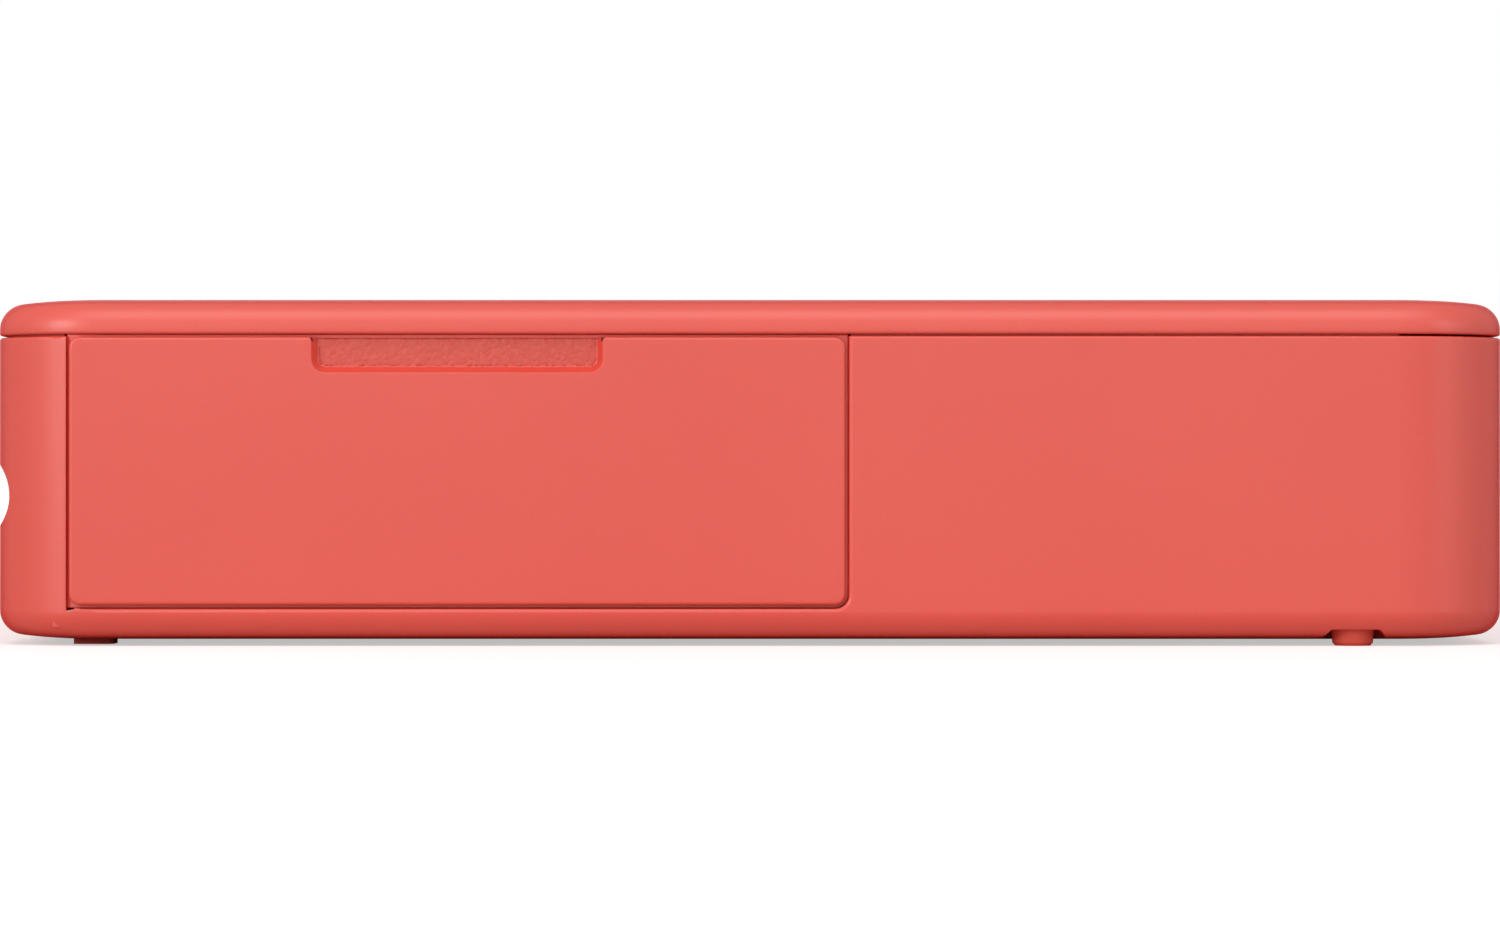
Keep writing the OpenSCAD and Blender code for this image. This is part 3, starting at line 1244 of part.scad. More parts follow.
socket_inset_d = 0.9;                  // the socket's mouth, below the outer face
module charging_socket() color(steel) difference() {
    on_ctrl(x_socket, z_control, -socket_inset_d, socket_inset_d + 6.6) pill(socket_l, socket_h);
    on_ctrl(x_socket, z_control, 0, 6.2) difference() {
        round_rect(socket_l - 0.5, socket_h - 0.5, socket_h / 2 - 0.3);
        square([6.6, 0.7], center = true);
    }
}

// ---- Board and battery ---------------------------------------------------

y_board1 = y_inner - 1.1;
z_board_top = z_board + board_t;

module circuit_board() color("#1F5A3C") difference() {
    union() {
        box([x_board0, -y_frame - 3.6, z_board], [frame_x1, y_board1, z_board_top]);
        // strip along the control side, under the status lights
        box([x_light0 - 1.6, y_frame + 0.6, z_board], [x_board0 + 1, y_board1, z_board_top]);
    }
    for (p = board_posts) bar_z(p, 1, z_board - 1, z_board_top + 1);
    // notch behind the power button
    box([x_button - button_l / 2 - 1.6, y_inner - 1.6, z_board - 1],
        [x_button + button_l / 2 + 1.6, y_ctrl, z_board_top + 1]);
}

// Middle of each chip on the board in X and Y, then its length, width and height
x_chips = [x_board0 + 9.6, frame_x1 - 11.7];
chips = [[x_chips[0], -18, 9, 9, 1], [x_chips[0], 4, 12, 8, 1.1], [x_chips[1], -20, 6, 6, 0.9],
         [x_chips[1], -6, 5, 7, 0.9], [x_chips[1] - 3, 12, 8, 5, 1.6], [x_chips[0], 20, 5, 4, 0.9]];
module board_chips() color(charcoal) translate([0, 0, z_board_top]) {
    for (c = chips) translate([c[0] - c[2] / 2, c[1] - c[3] / 2, 0]) cube([c[2], c[3], c[4]]);
    for (i = [0:3]) translate([x_chips[0] + 6, -31 + i * 2.6, 0]) cube([1.6, 0.9, 0.7]);
    for (i = [0:1]) bar_z([x_chips[1] + 2, 24 + i * 6], 2, 0, 2.6);
}

module board_screws() color(steel)
    for (p = board_posts) screw(p, 1.5, board_screw_r, z_board_top, z_board_top + 0.8, arm_top - 3.3);

battery_w = frame_w - 17;
module battery_pack() color("#3C4A63") difference() {
    translate([(base_x1 + frame_x1 - 0.2) / 2, 0, z_floor]) linear_extrude(9)
        round_rect(frame_x1 - base_x1 - 1.8, battery_w, 2);
    // step of the sealed edge, where the leads come out
    translate([frame_x1 - 4.5, -battery_w / 2 - 1, z_floor + 5]) cube([5, battery_w + 2, 5]);
}

// ---- Nodes ---------------------------------------------------------------

lower_case();
rubber_feet();
case_screws();
top_cover();
grip_panel();
cover_hinge_pins();
pressure_plate();
cassette_door();
door_hinge_pins();
inner_deck();
paper_tray();
deck_screws();
frame_base();
drive_side_wall();
door_side_wall();
paper_ramp();
return_guide_upper();
return_guide_lower();
capstan_roller();
capstan_gear();
pinch_roller();
platen_roller();
platen_shaft();
roller_bushes();
pick_roller();
pick_shaft();
pick_gear();
feed_motor();
motor_pinion();
idler_gear();
idler_stud();
pick_motor();
pick_motor_pinion();
take_up_hub();
supply_hub();
cassette_frame();
take_up_spool();
supply_spool();
take_up_roll();
supply_roll();
ribbon_film();
head_arms();
head_heat_sink();
print_head();
head_pivot_pins();
head_springs();
cassette_lever();
lever_pin();
release_slider();
slider_spring();
power_button();
power_switch();
light_guides();
charging_socket();
circuit_board();
board_chips();
board_screws();
battery_pack();
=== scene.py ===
"""Finishes, small surface detail and a plain studio for a compact photo printer."""

import json
import math

import bmesh
import bpy
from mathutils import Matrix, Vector, noise


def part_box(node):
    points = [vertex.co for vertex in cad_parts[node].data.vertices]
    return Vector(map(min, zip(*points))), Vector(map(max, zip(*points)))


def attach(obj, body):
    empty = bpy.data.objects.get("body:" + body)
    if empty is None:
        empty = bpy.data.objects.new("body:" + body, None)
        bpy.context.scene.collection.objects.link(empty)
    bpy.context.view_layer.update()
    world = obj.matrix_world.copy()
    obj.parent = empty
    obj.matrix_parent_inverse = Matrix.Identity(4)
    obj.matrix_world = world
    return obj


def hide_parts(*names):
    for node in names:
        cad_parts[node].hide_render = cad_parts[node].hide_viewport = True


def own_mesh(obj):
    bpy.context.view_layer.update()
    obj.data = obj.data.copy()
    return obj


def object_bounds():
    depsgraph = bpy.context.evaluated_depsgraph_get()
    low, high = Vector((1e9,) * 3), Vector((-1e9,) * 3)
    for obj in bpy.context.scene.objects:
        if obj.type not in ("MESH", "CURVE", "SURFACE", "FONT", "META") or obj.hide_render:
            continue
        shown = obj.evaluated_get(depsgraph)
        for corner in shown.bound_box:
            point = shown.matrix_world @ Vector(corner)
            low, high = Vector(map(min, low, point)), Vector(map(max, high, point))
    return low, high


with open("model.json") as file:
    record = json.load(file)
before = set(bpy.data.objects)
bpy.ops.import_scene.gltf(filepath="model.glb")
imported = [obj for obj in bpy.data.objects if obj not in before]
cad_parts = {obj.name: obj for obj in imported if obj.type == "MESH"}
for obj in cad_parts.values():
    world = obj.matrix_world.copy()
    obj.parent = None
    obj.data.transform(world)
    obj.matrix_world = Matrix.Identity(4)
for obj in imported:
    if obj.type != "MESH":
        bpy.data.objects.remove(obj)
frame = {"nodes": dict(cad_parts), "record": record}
cad_low, cad_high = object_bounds()
MM = 0.001


# ---- Colour and nodes ------------------------------------------------------

def linear(hex_colour):
    """An sRGB hex value as the linear colour that a shader takes."""
    parts = [int(hex_colour[i:i + 2], 16) / 255 for i in (1, 3, 5)]
    return [c / 12.92 if c <= 0.04045 else ((c + 0.055) / 1.055) ** 2.4 for c in parts] + [1.0]


def add(tree, kind, inputs=None, **settings):
    """Adds one node. An input takes a value, or another node's output to be linked to."""
    node = tree.nodes.new("ShaderNode" + kind)
    for name, value in settings.items():
        setattr(node, name, value)
    for name, value in (inputs or {}).items():
        if isinstance(value, bpy.types.NodeSocket):
            tree.links.new(value, node.inputs[name])
        else:
            node.inputs[name].default_value = value
    return node


def blank(name):
    """An empty material, and the place on the piece in metres that its patterns are laid out by."""
    material = bpy.data.materials.new(name)
    material.use_nodes = True
    tree = material.node_tree
    tree.nodes.clear()
    return material, tree, add(tree, "TexCoord").outputs["Object"]


def per_metre(size_mm):
    """Pattern scale for features of this size."""
    return 1 / (size_mm * MM)


# ---- Plastics --------------------------------------------------------------

# rim is the deeper red that is painted as shade on surfaces turning away from the view
def satin_coral_abs(name, dark, light, rim, grit_mm=0.32, rough=(0.37, 0.48), edge_mm=0.22):
    """Coral ABS from a spark-eroded mould: an even satin skin whose fine grit breaks up the highlight.

    The colour is mixed towards a deeper, purer red where a surface turns away from the view, as painted
    shade on edges and corners. A little light wanders under the skin, so that thin edges and narrow gaps
    glow red. The grit takes the sheen off at low angles, and the edges are eased as the tool leaves them.
    """
    material, tree, place = blank(name)
    drift = add(tree, "TexNoise", {"Vector": place, "Scale": per_metre(38), "Detail": 2})
    grit = add(tree, "TexNoise", {"Vector": place, "Scale": per_metre(grit_mm), "Detail": 3,
                                  "Roughness": 0.6})
    cloud = add(tree, "MixRGB", {"Fac": 0.35, "Color1": drift.outputs["Fac"], "Color2": grit.outputs["Fac"]})
    spread = add(tree, "MapRange", {"Value": cloud.outputs["Color"], "From Min": 0.35, "From Max": 0.65})
    coral_skin = add(tree, "MixRGB", {"Fac": spread.outputs["Result"],
                                      "Color1": linear(dark), "Color2": linear(light)})
    # painted shade: the colour goes towards the rim red as the surface turns away from the view
    turned = add(tree, "LayerWeight", {"Blend": 0.5})
    depth = add(tree, "MapRange", {"Value": turned.outputs["Facing"], "From Min": 0.5, "From Max": 0.85},
                interpolation_type="SMOOTHSTEP")
    colour = add(tree, "MixRGB", {"Fac": depth.outputs["Result"], "Color1": coral_skin.outputs["Color"],
                                  "Color2": linear(rim)})
    sheen_step = add(tree, "MapRange", {"Value": grit.outputs["Fac"], "From Min": 0.3, "From Max": 0.7,
                                        "To Min": rough[0], "To Max": rough[1]})
    eased = add(tree, "Bevel", {"Radius": edge_mm * MM}, samples=6)
    shine = add(tree, "MapRange", {"Value": turned.outputs["Facing"], "From Min": 0.3, "From Max": 0.78,
                                   "To Min": 0.8, "To Max": 0.04})
    bump = add(tree, "Bump", {"Strength": 0.55, "Distance": 0.012 * MM, "Height": grit.outputs["Fac"],
                              "Normal": eased.outputs["Normal"]})
    skin = add(tree, "BsdfPrincipled", {"Base Color": colour.outputs["Color"], "IOR": 1.53,
                                        "Roughness": sheen_step.outputs["Result"],
                                        "Specular IOR Level": shine.outputs["Result"],
                                        "Subsurface Weight": 0.22, "Subsurface Scale": 0.6 * MM,
                                        "Subsurface Radius": (1.0, 0.2, 0.1),
                                        "Normal": bump.outputs["Normal"]})
    add(tree, "OutputMaterial", {"Surface": skin.outputs["BSDF"]})
    return material


def eroded_abs(name, dark, light, grit_mm=0.32, rough=(0.40, 0.52)):
    """ABS or epoxy from a spark-eroded mould: dull and even, with a fine grit in the highlight."""
    material, tree, place = blank(name)
    grit = add(tree, "TexNoise", {"Vector": place, "Scale": per_metre(grit_mm), "Detail": 3,
                                  "Roughness": 0.6})
    spread = add(tree, "MapRange", {"Value": grit.outputs["Fac"], "From Min": 0.35, "From Max": 0.65})
    colour = add(tree, "MixRGB", {"Fac": spread.outputs["Result"],
                                  "Color1": linear(dark), "Color2": linear(light)})
    sheen_step = add(tree, "MapRange", {"Value": grit.outputs["Fac"], "From Min": 0.3, "From Max": 0.7,
                                        "To Min": rough[0], "To Max": rough[1]})
    bump = add(tree, "Bump", {"Strength": 0.55, "Distance": 0.012 * MM, "Height": grit.outputs["Fac"]})
    skin = add(tree, "BsdfPrincipled", {"Base Color": colour.outputs["Color"], "IOR": 1.53,
                                        "Roughness": sheen_step.outputs["Result"],
                                        "Normal": bump.outputs["Normal"]})
    add(tree, "OutputMaterial", {"Surface": skin.outputs["BSDF"]})
    return material


def glass_filled_nylon(name, dark, light):
    """Nylon with glass fibre: dull, with short pale fibres lying near the surface."""
    material, tree, place = blank(name)
    lie = add(tree, "Mapping", {"Vector": place, "Scale": (1, 6, 6)})
    fibre = add(tree, "TexNoise", {"Vector": lie.outputs["Vector"], "Scale": per_metre(2.2), "Detail": 4})
    patch = add(tree, "TexNoise", {"Vector": place, "Scale": per_metre(14), "Detail": 2})
    both = add(tree, "MixRGB", {"Fac": 0.6, "Color1": patch.outputs["Fac"], "Color2": fibre.outputs["Fac"]})
    spread = add(tree, "MapRange", {"Value": both.outputs["Color"], "From Min": 0.38, "From Max": 0.66})
    colour = add(tree, "MixRGB", {"Fac": spread.outputs["Result"],
                                  "Color1": linear(dark), "Color2": linear(light)})
    bump = add(tree, "Bump", {"Strength": 0.5, "Distance": 0.02 * MM, "Height": fibre.outputs["Fac"]})
    skin = add(tree, "BsdfPrincipled", {"Base Color": colour.outputs["Color"], "Roughness": 0.58, "IOR": 1.53,
                                        "Normal": bump.outputs["Normal"]})
    add(tree, "OutputMaterial", {"Surface": skin.outputs["BSDF"]})
    return material


def polished_abs(name, dark, light):
    """ABS from a polished mould: a dark gloss with faint flow lines along the sheet's way."""
    material, tree, place = blank(name)
    along = add(tree, "Mapping", {"Vector": place, "Scale": (0.12, 1, 1)})
    flow = add(tree, "TexNoise", {"Vector": along.outputs["Vector"], "Scale": per_metre(1.6), "Detail": 3})
    colour = add(tree, "MixRGB", {"Fac": flow.outputs["Fac"],
                                  "Color1": linear(dark), "Color2": linear(light)})
    rub = add(tree, "MapRange", {"Value": flow.outputs["Fac"], "To Min": 0.16, "To Max": 0.34})
    bump = add(tree, "Bump", {"Strength": 0.25, "Distance": 0.01 * MM, "Height": flow.outputs["Fac"]})
    skin = add(tree, "BsdfPrincipled", {"Base Color": colour.outputs["Color"], "IOR": 1.53,
                                        "Roughness": rub.outputs["Result"], "Normal": bump.outputs["Normal"]})
    add(tree, "OutputMaterial", {"Surface": skin.outputs["BSDF"]})
    return material


def acetal(name, dark, light):
    """Moulded acetal: slightly waxy and milky, with a soft low gloss."""
    material, tree, place = blank(name)
    cloud = add(tree, "TexNoise", {"Vector": place, "Scale": per_metre(3.5), "Detail": 3})
    colour = add(tree, "MixRGB", {"Fac": cloud.outputs["Fac"],
                                  "Color1": linear(dark), "Color2": linear(light)})
    fine = add(tree, "TexNoise", {"Vector": place, "Scale": per_metre(0.25), "Detail": 2})
    bump = add(tree, "Bump", {"Strength": 0.3, "Distance": 0.006 * MM, "Height": fine.outputs["Fac"]})
    skin = add(tree, "BsdfPrincipled", {"Base Color": colour.outputs["Color"], "Roughness": 0.36, "IOR": 1.48,
                                        "Subsurface Weight": 0.12, "Subsurface Scale": 0.6 * MM,
                                        "Normal": bump.outputs["Normal"]})
    add(tree, "OutputMaterial", {"Surface": skin.outputs["BSDF"]})
    return material


def frosted_acrylic(name):
    """Acrylic light guide with a frosted end: pale, cloudy and partly clear."""
    material, tree, place = blank(name)
    frost = add(tree, "TexNoise", {"Vector": place, "Scale": per_metre(0.2), "Detail": 2})
    colour = add(tree, "MixRGB", {"Fac": frost.outputs["Fac"], "Color1": linear("#D9E0E2"),
                                  "Color2": linear("#F4F7F7")})
    bump = add(tree, "Bump", {"Strength": 0.5, "Distance": 0.01 * MM, "Height": frost.outputs["Fac"]})
    skin = add(tree, "BsdfPrincipled", {"Base Color": colour.outputs["Color"], "Roughness": 0.42, "IOR": 1.49,
                                        "Transmission Weight": 0.35, "Normal": bump.outputs["Normal"]})
    add(tree, "OutputMaterial", {"Surface": skin.outputs["BSDF"]})
    return material


# ---- Rubber ----------------------------------------------------------------

def ground_rubber(name, dark, light, mark_mm=0.35, stretch=(1, 0.15, 1), rough=0.72):
    """Dull rubber. A roller's is ground, which leaves fine marks along it, and a foot's has no lay."""
    material, tree, place = blank(name)
    run = add(tree, "Mapping", {"Vector": place, "Scale": stretch})
    mark = add(tree, "TexNoise", {"Vector": run.outputs["Vector"], "Scale": per_metre(mark_mm), "Detail": 3})
    dust = add(tree, "TexNoise", {"Vector": place, "Scale": per_metre(6), "Detail": 4})
    both = add(tree, "MixRGB", {"Fac": 0.5, "Color1": dust.outputs["Fac"], "Color2": mark.outputs["Fac"]})
    spread = add(tree, "MapRange", {"Value": both.outputs["Color"], "From Min": 0.35, "From Max": 0.7})
    colour = add(tree, "MixRGB", {"Fac": spread.outputs["Result"],
                                  "Color1": linear(dark), "Color2": linear(light)})
    bump = add(tree, "Bump", {"Strength": 0.6, "Distance": 0.02 * MM, "Height": mark.outputs["Fac"]})
    skin = add(tree, "BsdfPrincipled", {"Base Color": colour.outputs["Color"], "Roughness": rough,
                                        "IOR": 1.52, "Normal": bump.outputs["Normal"]})
    add(tree, "OutputMaterial", {"Surface": skin.outputs["BSDF"]})
    return material


# ---- Metals ----------------------------------------------------------------

def worked_metal(name, dark, light, lines_mm, stretch, rough, depth_mm=0.004):
    """Metal with the marks of how it was worked: lines along each axis whose stretch is under 1."""
    material, tree, place = blank(name)
    run = add(tree, "Mapping", {"Vector": place, "Scale": stretch})
    line = add(tree, "TexNoise", {"Vector": run.outputs["Vector"], "Scale": per_metre(lines_mm), "Detail": 4,
                                  "Roughness": 0.7})
    spread = add(tree, "MapRange", {"Value": line.outputs["Fac"], "From Min": 0.3, "From Max": 0.7})
    colour = add(tree, "MixRGB", {"Fac": spread.outputs["Result"],
                                  "Color1": linear(dark), "Color2": linear(light)})
    shine = add(tree, "MapRange", {"Value": line.outputs["Fac"], "From Min": 0.3, "From Max": 0.7,
                                   "To Min": rough[0], "To Max": rough[1]})
    bump = add(tree, "Bump", {"Strength": 0.4, "Distance": depth_mm * MM, "Height": line.outputs["Fac"]})
    skin = add(tree, "BsdfPrincipled", {"Base Color": colour.outputs["Color"], "Metallic": 1.0,
                                        "Roughness": shine.outputs["Result"],
                                        "Normal": bump.outputs["Normal"]})
    add(tree, "OutputMaterial", {"Surface": skin.outputs["BSDF"]})
    return material


# ---- Ribbon, board and battery ---------------------------------------------

def dye_film(name, panel_mm=7.0):
    """Dye ribbon: thin glossy film with yellow, magenta, cyan and clear panels along its length."""
    material, tree, place = blank(name)
    axes = add(tree, "SeparateXYZ", {"Vector": place})
    along = add(tree, "Math", {0: axes.outputs["X"], 1: per_metre(panel_mm * 4)}, operation="MULTIPLY")
    turn = add(tree, "Math", {0: along.outputs["Value"]}, operation="FRACT")
    ramp = add(tree, "ValToRGB", {"Fac": turn.outputs["Value"]})
    ramp.color_ramp.interpolation = "CONSTANT"
    for at, tint in ((0.25, "#5A1230"), (0.5, "#123A52"), (0.75, "#40373A")):
        ramp.color_ramp.elements.new(at).color = linear(tint)
    ramp.color_ramp.elements[0].color = linear("#6A5512")
    ramp.color_ramp.elements[len(ramp.color_ramp.elements) - 1].color = linear("#40373A")
    slack = add(tree, "TexNoise", {"Vector": place, "Scale": per_metre(9), "Detail": 1})
    bump = add(tree, "Bump", {"Strength": 0.3, "Distance": 0.05 * MM, "Height": slack.outputs["Fac"]})
    skin = add(tree, "BsdfPrincipled", {"Base Color": ramp.outputs["Color"], "Roughness": 0.18, "IOR": 1.64,
                                        "Normal": bump.outputs["Normal"]})
    add(tree, "OutputMaterial", {"Surface": skin.outputs["BSDF"]})
    return material


def solder_mask(name):
    """Board with green solder mask: glossy, with copper tracks showing as lighter, raised lines."""
    material, tree, place = blank(name)
    tracks = add(tree, "TexBrick", {"Vector": place, "Scale": per_metre(3.2), "Mortar Size": 0.03,
                                    "Color1": linear("#155A38"), "Color2": linear("#134F33"),
                                    "Mortar": linear("#2B7A4C")}, offset=0.37, squash=0.6)
    mottle = add(tree, "TexNoise", {"Vector": place, "Scale": per_metre(5), "Detail": 3})
    colour = add(tree, "MixRGB", {"Fac": 0.12, "Color1": tracks.outputs["Color"],
                                  "Color2": mottle.outputs["Color"]}, blend_type="MULTIPLY")
    bump = add(tree, "Bump", {"Strength": 0.4, "Distance": 0.03 * MM, "Height": tracks.outputs["Fac"]})
    skin = add(tree, "BsdfPrincipled", {"Base Color": colour.outputs["Color"], "Roughness": 0.28, "IOR": 1.55,
                                        "Normal": bump.outputs["Normal"]})
    add(tree, "OutputMaterial", {"Surface": skin.outputs["BSDF"]})
    return material


def glazed_alumina(name):
    """Thermal head: alumina under a thin glaze, pale and hard with a tight highlight."""
    material, tree, place = blank(name)
    grain = add(tree, "TexNoise", {"Vector": place, "Scale": per_metre(0.6), "Detail": 3})
    colour = add(tree, "MixRGB", {"Fac": grain.outputs["Fac"], "Color1": linear("#CFC7B4"),
                                  "Color2": linear("#E2DBCB")})
    skin = add(tree, "BsdfPrincipled", {"Base Color": colour.outputs["Color"], "Roughness": 0.16, "IOR": 1.6,
                                        "Coat Weight": 0.4, "Coat Roughness": 0.05})
    add(tree, "OutputMaterial", {"Surface": skin.outputs["BSDF"]})
    return material


def pouch_wrap(name):
    """Battery pack in shrink wrap: slate-blue film, a little creased over the cell."""
    material, tree, place = blank(name)
    crease = add(tree, "TexNoise", {"Vector": place, "Scale": per_metre(7), "Detail": 5, "Distortion": 1.2})
    spread = add(tree, "MapRange", {"Value": crease.outputs["Fac"], "From Min": 0.35, "From Max": 0.68})
    colour = add(tree, "MixRGB", {"Fac": spread.outputs["Result"], "Color1": linear("#36445C"),
                                  "Color2": linear("#43536D")})
    bump = add(tree, "Bump", {"Strength": 0.5, "Distance": 0.12 * MM, "Height": crease.outputs["Fac"]})
    skin = add(tree, "BsdfPrincipled", {"Base Color": colour.outputs["Color"], "Roughness": 0.33, "IOR": 1.5,
                                        "Normal": bump.outputs["Normal"]})
    add(tree, "OutputMaterial", {"Surface": skin.outputs["BSDF"]})
    return material


# the coral pigment: its darker and lighter drifts, and the deeper red painted as shade where a surface turns
# away
coral = ("#E64C3C", "#EA5242", "#DE3426")

finishes = {
    "case_plastic": satin_coral_abs("coral_abs_case", *coral),
    "cover_plastic": satin_coral_abs("coral_abs_cover", *coral),
    "door_plastic": satin_coral_abs("coral_abs_door", *coral),
    # the third colour of the grain and button finishes is their red painted as shade on surfaces turned away
    "grip_plastic": satin_coral_abs("coral_abs_grain", "#DA4433", "#E45140", "#D63324",
                                    grit_mm=0.25, rough=(0.5, 0.62)),
    "button_plastic": satin_coral_abs("coral_abs_button", "#D9503F", "#E05A4B", "#CF3425",
                                      grit_mm=0.25, rough=(0.36, 0.46)),
    "feet_rubber": ground_rubber("red_rubber_feet", "#DC4D3A", "#E85A47", stretch=(1, 1, 1), rough=0.66),
    "plate_plastic": worked_metal("black_zinc_plate", "#43454A", "#505258", 0.5, (0.2, 1, 1), (0.42, 0.58)),
    "deck_plastic": eroded_abs("graphite_abs_deck", "#393B40", "#43454B", grit_mm=0.4, rough=(0.46, 0.58)),
    "frame_plastic": glass_filled_nylon("black_nylon_frame", "#232428", "#303137"),
    "ramp_plastic": polished_abs("black_abs_ramp", "#26272B", "#303136"),
    "guide_plastic": polished_abs("graphite_abs_guide", "#303237", "#3B3D43"),
    "slider_plastic": eroded_abs("graphite_abs_slider", "#34363B", "#3F4147", grit_mm=0.25),
    "switch_plastic": glass_filled_nylon("black_nylon_switch", "#1D1E21", "#292A2E"),
    "cassette_plastic": eroded_abs("white_abs_cassette", "#D9D7D1", "#E4E2DC",
                                   grit_mm=0.4, rough=(0.44, 0.56)),
    "spool_plastic": eroded_abs("black_abs_spool", "#2A2B2F", "#35363B", grit_mm=0.4),
    "lever_plastic": acetal("ivory_acetal_lever", "#D2CEC3", "#DEDAD0"),
    "gear_acetal": acetal("natural_acetal_gear", "#DEDBD3", "#ECEAE3"),
    "light_guide": frosted_acrylic("frosted_acrylic_guide"),
    "pinch_rubber": ground_rubber("black_rubber_pinch", "#232326", "#2F2F33"),
    "platen_rubber": ground_rubber("grey_rubber_platen", "#3A3A3E", "#47474C", mark_mm=0.5),
    "pick_rubber": ground_rubber("black_rubber_pick", "#26262A", "#333338"),
    "capstan_steel": worked_metal("gritted_steel_capstan", "#9EA1A6", "#C3C6CA", 0.18, (1, 1, 1),
                                  (0.32, 0.5), 0.02),
    "shaft_steel": worked_metal("ground_steel_shaft", "#A9ACB1", "#C6C9CD", 0.3, (0.1, 1, 0.1), (0.2, 0.32)),
    "pin_steel": worked_metal("ground_steel_pin", "#A5A8AD", "#C2C5C9", 0.25, (0.3, 1, 0.3), (0.22, 0.34)),
    "screw_steel": worked_metal("zinc_steel_screw", "#8B8F95", "#A9ADB3", 0.3, (1, 1, 0.3), (0.28, 0.42)),
    "spring_steel": worked_metal("drawn_steel_spring", "#8F9297", "#ACAFB4", 0.3, (0.2, 1, 1), (0.26, 0.4)),
    "arm_steel": worked_metal("pressed_steel_arm", "#9B9EA3", "#B5B8BD", 0.6, (0.15, 1, 1), (0.3, 0.45)),
    "motor_steel": worked_metal("nickel_plated_can", "#A8A8A4", "#C2C2BE", 0.4, (1, 0.1, 1), (0.24, 0.36)),
    "bush_bronze": worked_metal("sintered_bronze_bush", "#A87F4E", "#C29A66", 0.22, (1, 1, 1),
                                (0.42, 0.6), 0.015),
    "pinion_brass": worked_metal("machined_brass_pinion", "#BF9A4F", "#D6B36A", 0.3, (0.4, 1, 0.4),
                                 (0.24, 0.36)),
    "sink_aluminium": worked_metal("extruded_aluminium_sink", "#AEB1B6", "#C8CBCF", 0.5, (1, 0.08, 1),
                                   (0.34, 0.5)),
    "socket_steel": worked_metal("drawn_steel_socket", "#A6A9AE", "#BEC1C6", 0.5, (1, 0.2, 1), (0.24, 0.36)),
    "wound_film": dye_film("wound_dye_film"),
    "ribbon_film": dye_film("dye_film"),
    "head_ceramic": glazed_alumina("glazed_alumina_head"),
    "board_laminate": solder_mask("green_solder_mask"),
    "chip_epoxy": eroded_abs("black_epoxy_chip", "#1E1F22", "#2A2B2F", grit_mm=0.5, rough=(0.4, 0.55)),
    "battery_foil": pouch_wrap("slate_battery_wrap"),
}

slot_of = {part["node"]: part["material_slot"] for part in frame["record"]["subparts"]}
for node_name, node_object in frame["nodes"].items():
    for holder in node_object.material_slots:
        holder.material = finishes[slot_of[node_name]]


# ---- Grain, door lip and spring --------------------------------------------

def finished_piece(name, mesh, slot):
    """A closed mesh as a piece of the scene, with its faces turned outward and its material on."""
    bmesh.ops.recalc_face_normals(mesh, faces=mesh.faces)
    piece = bpy.data.objects.new(name, bpy.data.meshes.new(name))
    mesh.to_mesh(piece.data)
    mesh.free()
    bpy.context.scene.collection.objects.link(piece)
    piece.data.materials.append(finishes[slot])
    return piece


def pebble(x, y, pitch, seed):
    """Height from 0 to 1 of an irregular pebbled grain, at x and y in millimetres."""
    flank, broad = 1.9, pitch * 2.6
    spots = noise.voronoi(Vector((x / pitch, y / pitch, seed)))[0]
    lift = min(1.0, (spots[1] - spots[0]) * flank)
    swell = 0.5 + 0.5 * noise.noise(Vector((x / broad, y / broad, seed + 7.0)))
    return lift * (3 - 2 * lift) * lift * (0.45 + 0.55 * swell)


def grained_sheet(name, columns, rows, place_of, floor_of):
    """A grid sheet with a skirt round it and a flat back, closed all round."""
    mesh = bmesh.new()
    top = [[mesh.verts.new(place_of(i / columns, j / rows)) for j in range(rows + 1)]
           for i in range(columns + 1)]
    for i in range(columns):
        for j in range(rows):
            mesh.faces.new((top[i][j], top[i + 1][j], top[i + 1][j + 1], top[i][j + 1])).smooth = True
    rim = ([top[i][0] for i in range(columns)] + [top[columns][j] for j in range(rows)]
           + [top[i][rows] for i in range(columns, 0, -1)] + [top[0][j] for j in range(rows, 0, -1)])
    foot = [mesh.verts.new(floor_of(v.co)) for v in rim]
    for k in range(len(rim)):
        mesh.faces.new((rim[k - 1], foot[k - 1], foot[k], rim[k]))
    mesh.faces.new(foot[::-1])
    return finished_piece(name, mesh, "grip_plastic")


def make_cover_grain():
    """The raised, grained field on the cover, which keeps the hand from slipping."""
    low, high = (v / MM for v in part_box("grip_panel"))
    centre, half = (low + high) / 2, (high - low) / 2
    corner, border = 4.0, 0.7
    step, lift, pitch, seed = 0.22, 0.24, 1.1, 3.0

    def place_of(u, v):
        x, y = (2 * u - 1) * half.x, (2 * v - 1) * half.y
        cu = max(0.0, (abs(x) - half.x + corner) / corner)
        cv = max(0.0, (abs(y) - half.y + corner) / corner)
        if cu > 0 and cv > 0:
            x = math.copysign(half.x - corner + corner * cu * math.sqrt(1 - cv * cv / 2), x)
            y = math.copysign(half.y - corner + corner * cv * math.sqrt(1 - cu * cu / 2), y)
        edge = min(half.x - abs(x), half.y - abs(y))
        fade = min(1.0, max(0.0, edge / border))
        height = high.z - lift + lift * fade * pebble(x, y, pitch, seed)
        return Vector((centre.x + x, centre.y + y, height)) * MM

    grain = grained_sheet("cover_grain", int(2 * half.x / step), int(2 * half.y / step), place_of,
                          lambda p: Vector((p.x, p.y, low.z * MM)))
    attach(grain, "cover")
    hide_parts("grip_panel")


